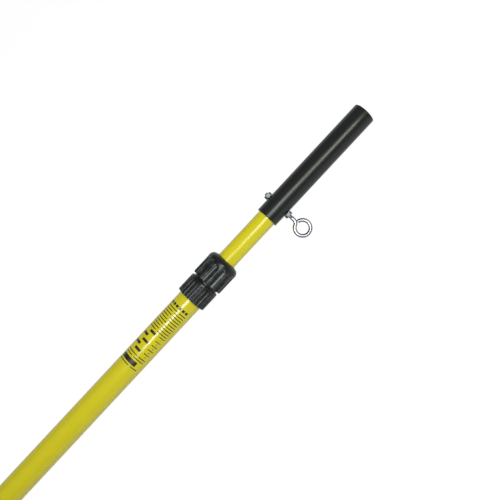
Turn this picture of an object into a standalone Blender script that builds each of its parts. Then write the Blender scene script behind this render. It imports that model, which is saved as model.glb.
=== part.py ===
"""Telescopic fibreglass pole with a twist lock, a tip socket and an eye bolt.

Units are metres. The pole lies along +X: the middle of its butt face is the origin
and its socket end is at +X. It lies on a floor, resting on the lock nut, with the
eye drooping until it touches the floor too. +Z is up.
"""

import math

import bmesh
import bpy
from mathutils import Vector

# Tubes: the base tube's bore fits the bush that guides the inner tube
INNER_TUBE_DIAMETER = 0.03175
INNER_TUBE_WALL = 0.0028
BASE_TUBE_WALL = 0.0032
BASE_TUBE_LENGTH = 0.930
TUBE_CHAMFER = 0.0005

# How far the inner tube is drawn out in the pose that is modelled, and what is left
# between the sleeve and the lock nut, and between the two end plugs, when it is shut
DRAWN_OUT = 0.090
CLOSED_GAP = 0.005
END_ROOM = 0.0157

# Clearances
FIT = 0.0003
RUNNING_FIT = 0.0006

# Tip sleeve
SLEEVE_WALL = 0.002875
SLEEVE_LENGTH = 0.2286
SLEEVE_OVERLAP = 0.060
SLEEVE_RIM_RADIUS = 0.0015
SLEEVE_MOUTH_CHAMFER = 0.0004
TIP_PLUG_DEPTH = 0.018
TIP_PLUG_FLANGE = 0.003

# Eye bolt and its nuts
WIRE_DIAMETER = 0.00635
BOLT_FROM_SLEEVE_END = 0.027
EYE_FROM_NUT = 0.02805
EYE_DIAMETER = 0.03175
EYE_BEND_RADIUS = 0.008
EYE_OPENING_DEGREES = 12.0
BOLT_TAIL = 0.0024
NUT_ACROSS_FLATS = 0.0111
NUT_THICKNESS = 0.0056
SPACER_WALL = 0.001775

# Lock body: the ribbed collar and its neck
COLLAR_WALL = 0.00505
COLLAR_LENGTH = 0.0335
COLLAR_TOP_CHAMFER = 0.0020
COLLAR_FOOT_CHAMFER = 0.0012
COLLAR_GRIP = 0.0270
NECK_LIP = 0.0017
NECK_LENGTH = 0.0225
RIB_COUNT = 24
RIB_GROOVE_RADIUS = 0.0019
RIB_GROOVE_DEPTH = 0.0012
RIB_GROOVE_TOP_MARGIN = 0.0045
SCREW_HEAD_DIAMETER = 0.0056
SCREW_SHANK_DIAMETER = 0.0032
SCREW_HEAD_HEIGHT = 0.0024
SCREW_STATION = 0.0150
SCREW_ANGLES = (-45.0, 45.0)

# Lock nut: the fluted collar
NUT_WALL = 0.0052
NUT_COLLAR_LENGTH = 0.0456
COLLAR_GAP = 0.0035
NUT_FOOT_CHAMFER = 0.0016
DOME_HEIGHT = 0.0095
FLUTE_COUNT = 14
FLUTE_RADIUS = 0.00966
FLUTE_DEPTH = 0.0017
FLUTE_TOP_MARGIN = 0.0112
WIPER_WALL = 0.0021
WIPER_HEIGHT = 0.0040
WIPER_LIP = 0.0008

# Collet and thrust ring
COLLET_WALL = 0.003825
CONE_LENGTH = 0.010
CONE_DROP = 0.0024
COLLET_MIDDLE = 0.007
COLLET_TOP_CONE = 0.008
COLLET_SLOTS = 6
COLLET_SLOT_WIDTH = 0.0012
COLLET_HOOP = 0.005
THRUST_RING_LENGTH = 0.0085

# Mouth bush, glide ring and end plug
BUSH_WALL = 0.000675
BUSH_LENGTH = 0.025
BUSH_FLANGE = 0.0012
GLIDE_RING_LENGTH = 0.012
GLIDE_RING_SLIT = 0.0015
GLIDE_GROOVE_DEPTH = 0.001375
PLUG_FLANGE = 0.004
PLUG_SPIGOT = 0.030
PLUG_NOSE = 0.005
PIN_DIAMETER = 0.005
PIN_CHAMFER = 0.0004

# Butt
CAP_FLOOR = 0.006
CAP_WALL = 0.0025
CAP_DEPTH = 0.050
CAP_EDGE_RADIUS = 0.003
CAP_RIDGE_HEIGHT = 0.0008
CAP_RIDGE_WIDTH = 0.0024
CAP_RIDGE_SLOPE = 0.0006
CAP_RIDGE_PITCH = 0.0065
CAP_RIDGE_COUNT = 3
BUTT_PLUG_LENGTH = 0.028
BUTT_PLUG_CHAMFER = 0.002

# Fineness of the facets
ROUND_STEPS = 40
HIDDEN_ROUND_STEPS = 32
SMALL_ROUND_STEPS = 16
FILLET_STEPS = 4
DOME_STEPS = 6
STEPS_PER_RIB = 2
STEPS_PER_FLUTE = 4
FLUTE_STEPS = 28
GROOVE_STEPS = 10
EYE_STEP_DEGREES = 12.0
BEND_STEPS = 5
WIRE_SIDE_STEPS = 4
MERGE_DISTANCE = 1e-6

# Radii
INNER_RADIUS = INNER_TUBE_DIAMETER / 2
INNER_BORE = INNER_RADIUS - INNER_TUBE_WALL
GUIDE_BORE = INNER_RADIUS + RUNNING_FIT
GRIP_BORE = INNER_RADIUS + FIT
LINER_RADIUS = GUIDE_BORE + BUSH_WALL
BASE_BORE = LINER_RADIUS + FIT
BASE_RADIUS = BASE_BORE + BASE_TUBE_WALL
SLEEVE_BORE = INNER_RADIUS + FIT
SLEEVE_RADIUS = SLEEVE_BORE + SLEEVE_WALL
WIRE_RADIUS = WIRE_DIAMETER / 2
BOLT_HOLE = WIRE_RADIUS + FIT
SPACER_RADIUS = BOLT_HOLE + SPACER_WALL
EYE_RADIUS = (EYE_DIAMETER - WIRE_DIAMETER) / 2
EYE_NUT_FOOT = SLEEVE_RADIUS + FIT
EYE_CENTRE_OFFSET = EYE_NUT_FOOT + NUT_THICKNESS + EYE_FROM_NUT
PIN_RADIUS = PIN_DIAMETER / 2
PIN_HOLE = PIN_RADIUS + FIT
SCREW_HEAD_RADIUS = SCREW_HEAD_DIAMETER / 2
SCREW_SHANK_RADIUS = SCREW_SHANK_DIAMETER / 2
CONE_LARGE = GRIP_BORE + COLLET_WALL + FIT
CONE_SMALL = CONE_LARGE - CONE_DROP
CONE_TAPER = CONE_DROP / CONE_LENGTH
COLLAR_RADIUS = BASE_RADIUS + FIT + COLLAR_WALL
NECK_RADIUS = CONE_LARGE + NECK_LIP
NUT_BORE = NECK_RADIUS + FIT
NUT_COLLAR_RADIUS = NUT_BORE + NUT_WALL
GLIDE_GROOVE = INNER_RADIUS - GLIDE_GROOVE_DEPTH
WIPER_SEAT = GRIP_BORE + WIPER_WALL + FIT
CAP_BORE = BASE_RADIUS + FIT
CAP_RADIUS = CAP_BORE + CAP_WALL

# Stations along the pole, from the butt face
BASE_TUBE_START = CAP_FLOOR + FIT
BASE_TUBE_END = BASE_TUBE_START + BASE_TUBE_LENGTH
LOCK_BODY_START = BASE_TUBE_END - COLLAR_GRIP
SHOULDER = COLLAR_GRIP + FIT + BUSH_FLANGE + FIT
NECK_TOP = COLLAR_LENGTH + NECK_LENGTH
CONE_START = NECK_TOP - CONE_LENGTH
THRUST_RING_START = CONE_START + CONE_LENGTH + COLLET_MIDDLE + FIT
NUT_START = COLLAR_LENGTH + COLLAR_GAP
NUT_SHOULDER = THRUST_RING_START + THRUST_RING_LENGTH + FIT - NUT_START
LOCK_NUT_STATION = LOCK_BODY_START + NUT_START
NUT_TOP_STATION = LOCK_NUT_STATION + NUT_COLLAR_LENGTH
SLEEVE_STATION = NUT_TOP_STATION + CLOSED_GAP + DRAWN_OUT
BOLT_STATION = SLEEVE_STATION + BOLT_FROM_SLEEVE_END
GLIDE_GROOVE_LENGTH = GLIDE_RING_LENGTH + 2 * FIT
PLUG_FLANGE_TOP = PLUG_NOSE + GLIDE_GROOVE_LENGTH + PLUG_FLANGE
END_PLUG_STATION = BASE_TUBE_START + BUTT_PLUG_LENGTH + END_ROOM + DRAWN_OUT
INNER_TUBE_START = END_PLUG_STATION + PLUG_FLANGE_TOP + FIT
INNER_TUBE_END = SLEEVE_STATION + SLEEVE_OVERLAP
INNER_TUBE_LENGTH = INNER_TUBE_END - INNER_TUBE_START
GLIDE_RING_END = INNER_TUBE_START - FIT - PLUG_FLANGE - FIT

# The eye droops until its ring touches the floor that the lock nut rests on
EYE_DROOP = math.asin((NUT_COLLAR_RADIUS - WIRE_RADIUS) / (EYE_CENTRE_OFFSET + EYE_RADIUS))

POLE_COLLECTION = "telescopic_pole"
CUTTER_COLLECTION = "cutters"


def clear_scene():
    """Remove the objects and meshes that the file opened with."""
    for thing in list(bpy.data.objects):
        bpy.data.objects.remove(thing, do_unlink=True)
    for old in list(bpy.data.meshes):
        bpy.data.meshes.remove(old)


def new_collection(name):
    """A collection in the scene, made if it isn't there yet."""
    collection = bpy.data.collections.get(name) or bpy.data.collections.new(name)
    if name not in bpy.context.scene.collection.children:
        bpy.context.scene.collection.children.link(collection)
    return collection


def finish(name, colour, roughness, metallic=0.0, coat=0.0):
    """A Principled material."""
    material = bpy.data.materials.new(name)
    material.use_nodes = True
    shader = material.node_tree.nodes["Principled BSDF"]
    shader.inputs["Base Color"].default_value = (*colour, 1.0)
    shader.inputs["Roughness"].default_value = roughness
    shader.inputs["Metallic"].default_value = metallic
    shader.inputs["Coat Weight"].default_value = coat
    material.diffuse_color = (*colour, 1.0)
    return material


def empty(name, parent=None, station=0.0, turn=0.0):
    """An empty on the pole's axis, turned about it, to carry a group of pieces."""
    carrier = bpy.data.objects.new(name, None)
    bpy.data.collections[POLE_COLLECTION].objects.link(carrier)
    carrier.parent = parent
    carrier.location = (station, 0, 0)
    carrier.rotation_euler = (turn, 0, 0)
    return carrier


def place(name, mesh, material, parent, collection=POLE_COLLECTION):
    """Link a mesh as a named object under its carrier."""
    thing = bpy.data.objects.new(name, mesh)
    bpy.data.collections[collection].objects.link(thing)
    thing.parent = parent
    if material:
        mesh.materials.append(material)
    return thing


def outline_mesh(name, outline, closed):
    """A mesh of edges through (radius, height) points, in the XZ plane."""
    shape = bmesh.new()
    corners = [shape.verts.new((radius, 0, height)) for radius, height in outline]
    following = corners[1:] + corners[:1] if closed else corners[1:]
    for corner, after in zip(corners, following):
        shape.edges.new((corner, after))
    mesh = bpy.data.meshes.new(name)
    shape.to_mesh(mesh)
    shape.free()
    return mesh


def screw(thing, steps):
    """Turn an object's outline into a closed solid round its own Z axis."""
    turn = thing.modifiers.new("Turn", "SCREW")
    turn.axis = "Z"
    turn.angle = 2 * math.pi
    turn.steps = turn.render_steps = steps
    turn.use_merge_vertices = True
    turn.merge_threshold = MERGE_DISTANCE
    turn.use_smooth_shade = True


def turned(name, outline, material, parent, station=0.0, closed=True, steps=ROUND_STEPS):
    """A solid of revolution on the pole's axis.

    The outline's (radius, height) points run down the outer side from the tip end,
    and heights are measured along the pole from the station. An outline that starts
    and ends on the axis isn't closed.
    """
    thing = place(name, outline_mesh(name, outline, closed), material, parent)
    thing.location = (station, 0, 0)
    thing.rotation_euler = (0, math.pi / 2, 0)
    screw(thing, steps)
    return thing


def tube_outline(bore, radius, length, chamfer):
    """A plain tube with its four edges chamfered."""
    return [
        (radius - chamfer, length),
        (radius, length - chamfer),
        (radius, chamfer),
        (radius - chamfer, 0),
        (bore + chamfer, 0),
        (bore, chamfer),
        (bore, length - chamfer),
        (bore + chamfer, length),
    ]


def arc(centre, radii, start, end, steps=FILLET_STEPS):
    """Points on an ellipse about (radius, height), from one angle to another in degrees.

    0 degrees points away from the axis and 90 degrees along the pole.
    """
    points = []
    for step in range(steps + 1):
        angle = math.radians(start + (end - start) * step / steps)
        radius = centre[0] + radii[0] * math.cos(angle)
        height = centre[1] + radii[1] * math.sin(angle)
        points.append((radius, height))
    return points


def cutter(name, outline, parent, steps, location, direction):
    """A turned cutter that starts at a place and points along a direction."""
    thing = place(name, outline_mesh(name, outline, False), None, parent, CUTTER_COLLECTION)
    thing.location = location
    thing.rotation_euler = Vector(direction).to_track_quat("Z", "Y").to_euler()
    screw(thing, steps)
    thing.display_type = "WIRE"
    thing.hide_render = True
    return thing


def rod_outline(radius, length):
    """A plain rod with flat ends, from one end on the axis to the other."""
    return [(0, length), (radius, length), (radius, 0), (0, 0)]


def drill(name, radius, length, parent, station=0.0):
    """A cutter for a round hole through the pole at a station, along the carrier's Z."""
    start = (station, 0, -length / 2)
    return cutter(name, rod_outline(radius, length), parent, SMALL_ROUND_STEPS, start, (0, 0, 1))


def block_cutter(name, size, parent):
    """A cutter that is a block of a size, about its carrier's origin."""
    bpy.ops.mesh.primitive_cube_add(size=1)
    block = bpy.context.object
    block.name = name
    block.dimensions = size
    for collection in list(block.users_collection):
        collection.objects.unlink(block)
    bpy.data.collections[CUTTER_COLLECTION].objects.link(block)
    block.parent = parent
    block.display_type = "WIRE"
    block.hide_render = True
    return block


def cut(thing, tools):
    """Take cutters away from an object."""
    for tool in tools:
        hole = thing.modifiers.new(tool.name, "BOOLEAN")
        hole.operation = "DIFFERENCE"
        hole.solver = "EXACT"
        hole.object = tool


def round_the_pole(count):
    """Numbers and outward directions of a pattern round the pole's axis, a half pitch off +Z."""
    for index in range(count):
        angle = 2 * math.pi * (index + 0.5) / count
        yield index + 1, Vector((0, math.sin(angle), math.cos(angle)))


def flute_outline(radius, length):
    """A long cutter with a ball end at its top."""
    return arc((0, length), (radius, radius), 90, 0) + [(radius, 0), (0, 0)]


def flutes(thing, name, parent, count, steps, radius, offset, body_radius, top):
    """Cut grooves with rounded tops round a collar.

    Each cutter is a rod of the radius, with its axis at the offset from the pole's. The
    grooves start below the carrier and end at the top, a height above it.
    """
    reach = math.sqrt(radius**2 - (offset - body_radius) ** 2)
    foot = Vector((-radius, 0, 0))
    outline = flute_outline(radius, top - reach + radius)
    tools = []
    for index, outward in round_the_pole(count):
        start = outward * offset + foot
        tools.append(cutter(f"{name}_{index}", outline, parent, steps, start, (1, 0, 0)))
    cut(thing, tools)


def base_tube(base, material):
    """The wide tube, before the butt pin's and the screws' holes are cut in it."""
    outline = tube_outline(BASE_BORE, BASE_RADIUS, BASE_TUBE_LENGTH, TUBE_CHAMFER)
    return turned("base_tube", outline, material, base, BASE_TUBE_START)


def butt(base, rubber, plastic, metal, tube):
    """The rubber cap, and the plug inside the tube with its cross pin."""
    crest = CAP_RADIUS + CAP_RIDGE_HEIGHT
    ridges = []
    for index in range(CAP_RIDGE_COUNT):
        low = CAP_DEPTH - CAP_RIDGE_PITCH * (index + 1)
        ridges += [
            (CAP_RADIUS, low + CAP_RIDGE_WIDTH),
            (crest, low + CAP_RIDGE_WIDTH - CAP_RIDGE_SLOPE),
            (crest, low + CAP_RIDGE_SLOPE),
            (CAP_RADIUS, low),
        ]
    edge = (CAP_RADIUS - CAP_EDGE_RADIUS, CAP_EDGE_RADIUS)
    outline = [
        (0, CAP_FLOOR),
        (CAP_BORE, CAP_FLOOR),
        (CAP_BORE, CAP_DEPTH),
        (CAP_RADIUS - TUBE_CHAMFER, CAP_DEPTH),
        (CAP_RADIUS, CAP_DEPTH - TUBE_CHAMFER),
        *ridges,
        *arc(edge, (CAP_EDGE_RADIUS, CAP_EDGE_RADIUS), 0, -90),
        (0, 0),
    ]
    turned("butt_cap", outline, rubber, base, closed=False, steps=HIDDEN_ROUND_STEPS)

    plug_outline = [
        (0, BUTT_PLUG_LENGTH),
        (LINER_RADIUS - BUTT_PLUG_CHAMFER, BUTT_PLUG_LENGTH),
        (LINER_RADIUS, BUTT_PLUG_LENGTH - BUTT_PLUG_CHAMFER),
        (LINER_RADIUS, 0),
        (0, 0),
    ]
    plug = turned(
        "butt_plug", plug_outline, plastic, base, BASE_TUBE_START, False, HIDDEN_ROUND_STEPS
    )
    station = BASE_TUBE_START + BUTT_PLUG_LENGTH / 2
    hole = drill("butt_pin_hole", PIN_HOLE, 2 * CAP_RADIUS, base, station)
    cut(plug, [hole])
    cut(tube, [hole])
    pin("butt_pin", BASE_RADIUS, base, station, metal)


def pin(name, tube_radius, parent, station, metal):
    """A cross pin, as long as a tube is wide where it passes through."""
    half = math.sqrt(tube_radius**2 - PIN_RADIUS**2) - FIT
    outline = [
        (0, half),
        (PIN_RADIUS - PIN_CHAMFER, half),
        (PIN_RADIUS, half - PIN_CHAMFER),
        (PIN_RADIUS, PIN_CHAMFER - half),
        (PIN_RADIUS - PIN_CHAMFER, -half),
        (0, -half),
    ]
    thing = turned(name, outline, metal, parent, station, False, SMALL_ROUND_STEPS)
    thing.rotation_euler = (0, 0, 0)


def lock_body(base, plastic, metal, tube):
    """The ribbed collar with the nut's neck on it, and its two screws."""
    outline = [
        (CONE_LARGE, NECK_TOP),
        (NECK_RADIUS - TUBE_CHAMFER, NECK_TOP),
        (NECK_RADIUS, NECK_TOP - TUBE_CHAMFER),
        (NECK_RADIUS, COLLAR_LENGTH),
        (COLLAR_RADIUS - COLLAR_TOP_CHAMFER, COLLAR_LENGTH),
        (COLLAR_RADIUS, COLLAR_LENGTH - COLLAR_TOP_CHAMFER),
        (COLLAR_RADIUS, COLLAR_FOOT_CHAMFER),
        (COLLAR_RADIUS - COLLAR_FOOT_CHAMFER, 0),
        (BASE_RADIUS + FIT, 0),
        (BASE_RADIUS + FIT, SHOULDER),
        (GUIDE_BORE, SHOULDER),
        (GUIDE_BORE, CONE_START),
        (CONE_SMALL, CONE_START),
    ]
    steps = STEPS_PER_RIB * RIB_COUNT
    body = turned("lock_body", outline, plastic, base, LOCK_BODY_START, steps=steps)
    carrier = empty("lock_body_pattern", base, LOCK_BODY_START)
    offset = COLLAR_RADIUS - RIB_GROOVE_DEPTH + RIB_GROOVE_RADIUS
    top = COLLAR_LENGTH - RIB_GROOVE_TOP_MARGIN
    flutes(
        body, "rib_groove", carrier, RIB_COUNT, GROOVE_STEPS,
        RIB_GROOVE_RADIUS, offset, COLLAR_RADIUS, top,
    )
    for index, degrees in enumerate(SCREW_ANGLES, 1):
        lock_body_screw(index, degrees, carrier, metal, [body, tube])


def lock_body_screw(index, degrees, carrier, metal, held):
    """A countersunk screw and its seat in what it holds, at degrees from the hidden side."""
    away = EYE_DROOP + math.radians(180 + degrees)
    outward = Vector((0, -math.sin(away), math.cos(away)))
    tip = BASE_BORE + FIT
    head_top = COLLAR_RADIUS - RIB_GROOVE_DEPTH
    head_foot = head_top - SCREW_HEAD_HEIGHT
    seat_outline = [
        (0, COLLAR_RADIUS + FIT),
        (SCREW_HEAD_RADIUS + FIT, COLLAR_RADIUS + FIT),
        (SCREW_HEAD_RADIUS + FIT, head_top - FIT),
        (SCREW_SHANK_RADIUS + FIT, head_foot - FIT),
        (SCREW_SHANK_RADIUS + FIT, BASE_BORE - FIT),
        (0, BASE_BORE - FIT),
    ]
    place_on_axis = (SCREW_STATION, 0, 0)
    name = f"lock_body_screw_{index}"
    seat = cutter(
        f"{name}_seat", seat_outline, carrier, SMALL_ROUND_STEPS, place_on_axis, outward
    )
    for piece in held:
        cut(piece, [seat])
    screw_outline = [
        (0, head_top),
        (SCREW_HEAD_RADIUS - PIN_CHAMFER, head_top),
        (SCREW_HEAD_RADIUS, head_top - PIN_CHAMFER),
        (SCREW_SHANK_RADIUS, head_foot),
        (SCREW_SHANK_RADIUS, tip + PIN_CHAMFER),
        (SCREW_SHANK_RADIUS - PIN_CHAMFER, tip),
        (0, tip),
    ]
    thing = turned(name, screw_outline, metal, carrier, SCREW_STATION, False, SMALL_ROUND_STEPS)
    thing.rotation_euler = outward.to_track_quat("Z", "Y").to_euler()


def mouth_bush(base, plastic):
    """The flanged liner in the base tube's mouth."""
    flange_radius = BASE_RADIUS - TUBE_CHAMFER
    length = BUSH_LENGTH + FIT + BUSH_FLANGE
    outline = [
        (GUIDE_BORE, length),
        (flange_radius, length),
        (flange_radius, length - BUSH_FLANGE),
        (LINER_RADIUS, length - BUSH_FLANGE),
        (LINER_RADIUS, 0),
        (GUIDE_BORE, 0),
    ]
    station = BASE_TUBE_END - BUSH_LENGTH
    turned("mouth_bush", outline, plastic, base, station, steps=HIDDEN_ROUND_STEPS)


def collet(base, plastic):
    """The double-tapered ring, slit from its top into fingers."""
    foot = LOCK_BODY_START + CONE_START + FIT
    foot_radius = CONE_SMALL - FIT + CONE_TAPER * FIT
    middle_radius = CONE_LARGE - FIT
    lower_cone = CONE_LENGTH - FIT
    top_cone = lower_cone + COLLET_MIDDLE
    length = top_cone + COLLET_TOP_CONE
    top_radius = middle_radius - CONE_TAPER * COLLET_TOP_CONE
    outline = [
        (GRIP_BORE, length),
        (top_radius, length),
        (middle_radius, top_cone),
        (middle_radius, lower_cone),
        (foot_radius, 0),
        (GRIP_BORE, 0),
    ]
    ring = turned("collet", outline, plastic, base, foot, steps=HIDDEN_ROUND_STEPS)
    slits = []
    for index in range(COLLET_SLOTS // 2):
        size = (length, COLLET_SLOT_WIDTH, 2 * CONE_LARGE)
        slit = block_cutter(f"collet_slit_{index + 1}", size, base)
        slit.location = (foot + COLLET_HOOP + length / 2, 0, 0)
        slit.rotation_euler = (2 * math.pi * index / COLLET_SLOTS, 0, 0)
        slits.append(slit)
    cut(ring, slits)


def thrust_ring(travel, plastic):
    """The ring that the nut pushes over the collet's upper taper."""
    large = CONE_LARGE - CONE_TAPER * FIT
    small = large - CONE_TAPER * COLLET_TOP_CONE
    outline = [
        (small, THRUST_RING_LENGTH),
        (NECK_RADIUS - TUBE_CHAMFER, THRUST_RING_LENGTH),
        (NECK_RADIUS, THRUST_RING_LENGTH - TUBE_CHAMFER),
        (NECK_RADIUS, TUBE_CHAMFER),
        (NECK_RADIUS - TUBE_CHAMFER, 0),
        (large, 0),
        (small, COLLET_TOP_CONE),
    ]
    station = THRUST_RING_START - NUT_START
    turned("thrust_ring", outline, plastic, travel, station, steps=HIDDEN_ROUND_STEPS)


def lock_nut(twist, plastic):
    """The fluted collar with a domed shoulder, open below for the neck."""
    dome_start = WIPER_SEAT + FIT
    dome = (NUT_COLLAR_RADIUS - dome_start, DOME_HEIGHT)
    dome_points = arc((dome_start, NUT_COLLAR_LENGTH - DOME_HEIGHT), dome, 90, 0, DOME_STEPS)
    lip_bore = GUIDE_BORE + FIT
    outline = [
        (WIPER_SEAT, NUT_COLLAR_LENGTH),
        *dome_points,
        (NUT_COLLAR_RADIUS, NUT_FOOT_CHAMFER),
        (NUT_COLLAR_RADIUS - NUT_FOOT_CHAMFER, 0),
        (NUT_BORE, 0),
        (NUT_BORE, NUT_SHOULDER),
        (lip_bore, NUT_SHOULDER),
        (lip_bore, NUT_COLLAR_LENGTH - WIPER_HEIGHT - FIT),
        (WIPER_SEAT, NUT_COLLAR_LENGTH - WIPER_HEIGHT - FIT),
    ]
    nut = turned("lock_nut", outline, plastic, twist, steps=STEPS_PER_FLUTE * FLUTE_COUNT)
    offset = NUT_COLLAR_RADIUS - FLUTE_DEPTH + FLUTE_RADIUS
    top = NUT_COLLAR_LENGTH - FLUTE_TOP_MARGIN
    flutes(
        nut, "flute", twist, FLUTE_COUNT, FLUTE_STEPS,
        FLUTE_RADIUS, offset, NUT_COLLAR_RADIUS, top,
    )


def wiper_ring(twist, rubber):
    """The rubber ring in the nut's mouth, with a lip against the tube."""
    outer = WIPER_SEAT - FIT
    outline = [
        (GRIP_BORE, WIPER_HEIGHT + WIPER_LIP),
        ((GRIP_BORE + outer) / 2, WIPER_HEIGHT + WIPER_LIP),
        (outer, WIPER_HEIGHT),
        (outer, 0),
        (GRIP_BORE, 0),
    ]
    station = NUT_COLLAR_LENGTH - WIPER_HEIGHT
    turned("wiper_ring", outline, rubber, twist, station, steps=HIDDEN_ROUND_STEPS)


def glide_ring(carriage, plastic):
    """The split ring that rides in the end plug's groove."""
    foot = -GLIDE_RING_LENGTH
    outline = tube_outline(GLIDE_GROOVE + FIT, LINER_RADIUS, GLIDE_RING_LENGTH, TUBE_CHAMFER)
    ring = turned("glide_ring", outline, plastic, carriage, foot, steps=HIDDEN_ROUND_STEPS)
    slit = block_cutter("glide_ring_slit", (2 * GLIDE_RING_LENGTH, GLIDE_RING_SLIT, BASE_BORE), carriage)
    slit.location = (foot / 2, 0, BASE_BORE / 2)
    cut(ring, [slit])


def end_plug(section, plastic, metal, tube):
    """The plug in the inner tube's lower end, and its cross pin."""
    spigot = INNER_BORE - FIT
    length = PLUG_FLANGE_TOP + FIT + PLUG_SPIGOT
    groove_top = PLUG_NOSE + GLIDE_GROOVE_LENGTH
    outline = [
        (0, length),
        (spigot - PIN_CHAMFER, length),
        (spigot, length - PIN_CHAMFER),
        (spigot, PLUG_FLANGE_TOP),
        (INNER_RADIUS, PLUG_FLANGE_TOP),
        (INNER_RADIUS, groove_top),
        (GLIDE_GROOVE, groove_top),
        (GLIDE_GROOVE, PLUG_NOSE),
        (INNER_RADIUS, PLUG_NOSE),
        (INNER_RADIUS, TUBE_CHAMFER),
        (INNER_RADIUS - TUBE_CHAMFER, 0),
        (0, 0),
    ]
    plug = turned(
        "end_plug", outline, plastic, section, END_PLUG_STATION, False, HIDDEN_ROUND_STEPS
    )
    station = INNER_TUBE_START + PLUG_SPIGOT / 2
    hole = drill("end_plug_pin_hole", PIN_HOLE, 2 * BASE_RADIUS, section, station)
    cut(plug, [hole])
    cut(tube, [hole])
    pin("end_plug_pin", INNER_RADIUS, section, station, metal)


def inner_tube(section, material):
    """The thin tube, before the holes for the eye bolt and the end plug's pin are cut."""
    outline = tube_outline(INNER_BORE, INNER_RADIUS, INNER_TUBE_LENGTH, TUBE_CHAMFER)
    return turned("inner_tube", outline, material, section, INNER_TUBE_START)


def tip_plug(section, plastic):
    """The plug that closes the inner tube inside the sleeve."""
    spigot = INNER_BORE - FIT
    length = TIP_PLUG_DEPTH + FIT + TIP_PLUG_FLANGE
    outline = [
        (0, length),
        (INNER_RADIUS - TUBE_CHAMFER, length),
        (INNER_RADIUS, length - TUBE_CHAMFER),
        (INNER_RADIUS, length - TIP_PLUG_FLANGE),
        (spigot, length - TIP_PLUG_FLANGE),
        (spigot, PIN_CHAMFER),
        (spigot - PIN_CHAMFER, 0),
        (0, 0),
    ]
    station = INNER_TUBE_END - TIP_PLUG_DEPTH
    turned("tip_plug", outline, plastic, section, station, False, HIDDEN_ROUND_STEPS)


def tip_sleeve(section, plastic):
    """The socket sleeve, with a rounded rim at its tip."""
    rim = (SLEEVE_RADIUS - SLEEVE_RIM_RADIUS, SLEEVE_LENGTH - SLEEVE_RIM_RADIUS)
    outline = [
        *arc(rim, (SLEEVE_RIM_RADIUS, SLEEVE_RIM_RADIUS), 90, 0),
        (SLEEVE_RADIUS, TUBE_CHAMFER),
        (SLEEVE_RADIUS - TUBE_CHAMFER, 0),
        (SLEEVE_BORE, 0),
        (SLEEVE_BORE, SLEEVE_LENGTH - SLEEVE_MOUTH_CHAMFER),
        (SLEEVE_BORE + SLEEVE_MOUTH_CHAMFER, SLEEVE_LENGTH),
    ]
    return turned("tip_sleeve", outline, plastic, section, SLEEVE_STATION)


def eye_bolt_route(tail):
    """Points of the bent wire: X along the pole and Z outwards on the bolt's carrier.

    The shank runs straight from its tail, bends to the butt side to meet the eye's
    circle, and goes round it until it nearly closes on the tip side.
    """
    bend_start = EYE_CENTRE_OFFSET - math.sqrt(EYE_RADIUS**2 + 2 * EYE_RADIUS * EYE_BEND_RADIUS)
    meets_at = math.atan2(EYE_BEND_RADIUS, EYE_CENTRE_OFFSET - bend_start)
    points = [(0, 0, tail), (0, 0, 0)]
    turn = math.pi / 2 - meets_at
    for step in range(BEND_STEPS):
        angle = turn * step / BEND_STEPS
        across = EYE_BEND_RADIUS * (math.cos(angle) - 1)
        points.append((across, 0, bend_start + EYE_BEND_RADIUS * math.sin(angle)))
    sweep = 2 * math.pi - meets_at - math.radians(EYE_OPENING_DEGREES)
    steps = round(math.degrees(sweep) / EYE_STEP_DEGREES)
    for step in range(steps + 1):
        angle = meets_at + sweep * step / steps
        across = -EYE_RADIUS * math.sin(angle)
        points.append((across, 0, EYE_CENTRE_OFFSET - EYE_RADIUS * math.cos(angle)))
    return points


def hex_nut(name, foot, bolt, metal):
    """A hex nut with chamfered corners, standing on a height along the bolt."""
    corner = NUT_ACROSS_FLATS / 2 / math.cos(math.pi / 6)
    chamfer = corner - NUT_ACROSS_FLATS / 2
    shape = bmesh.new()
    bmesh.ops.create_cone(
        shape, cap_ends=True, segments=6, radius1=corner, radius2=corner, depth=NUT_THICKNESS
    )
    bmesh.ops.translate(shape, verts=shape.verts, vec=(0, 0, NUT_THICKNESS / 2))
    mesh = bpy.data.meshes.new(name)
    shape.to_mesh(mesh)
    shape.free()
    nut = place(name, mesh, metal, bolt)
    nut.location = (0, 0, foot)

    blank = [
        (BOLT_HOLE, NUT_THICKNESS + FIT),
        (corner - chamfer, NUT_THICKNESS + FIT),
        (corner + FIT, NUT_THICKNESS - chamfer / 2),
        (corner + FIT, chamfer / 2),
        (corner - chamfer, -FIT),
        (BOLT_HOLE, -FIT),
    ]
    blank_name = f"{name}_blank"
    blank_mesh = outline_mesh(blank_name, blank, True)
    envelope = place(blank_name, blank_mesh, None, bolt, CUTTER_COLLECTION)
    envelope.location = (0, 0, foot)
    screw(envelope, SMALL_ROUND_STEPS)
    envelope.display_type = "WIRE"
    envelope.hide_render = True
    shaped = nut.modifiers.new("Chamfer and bore", "BOOLEAN")
    shaped.operation = "INTERSECT"
    shaped.object = envelope


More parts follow.
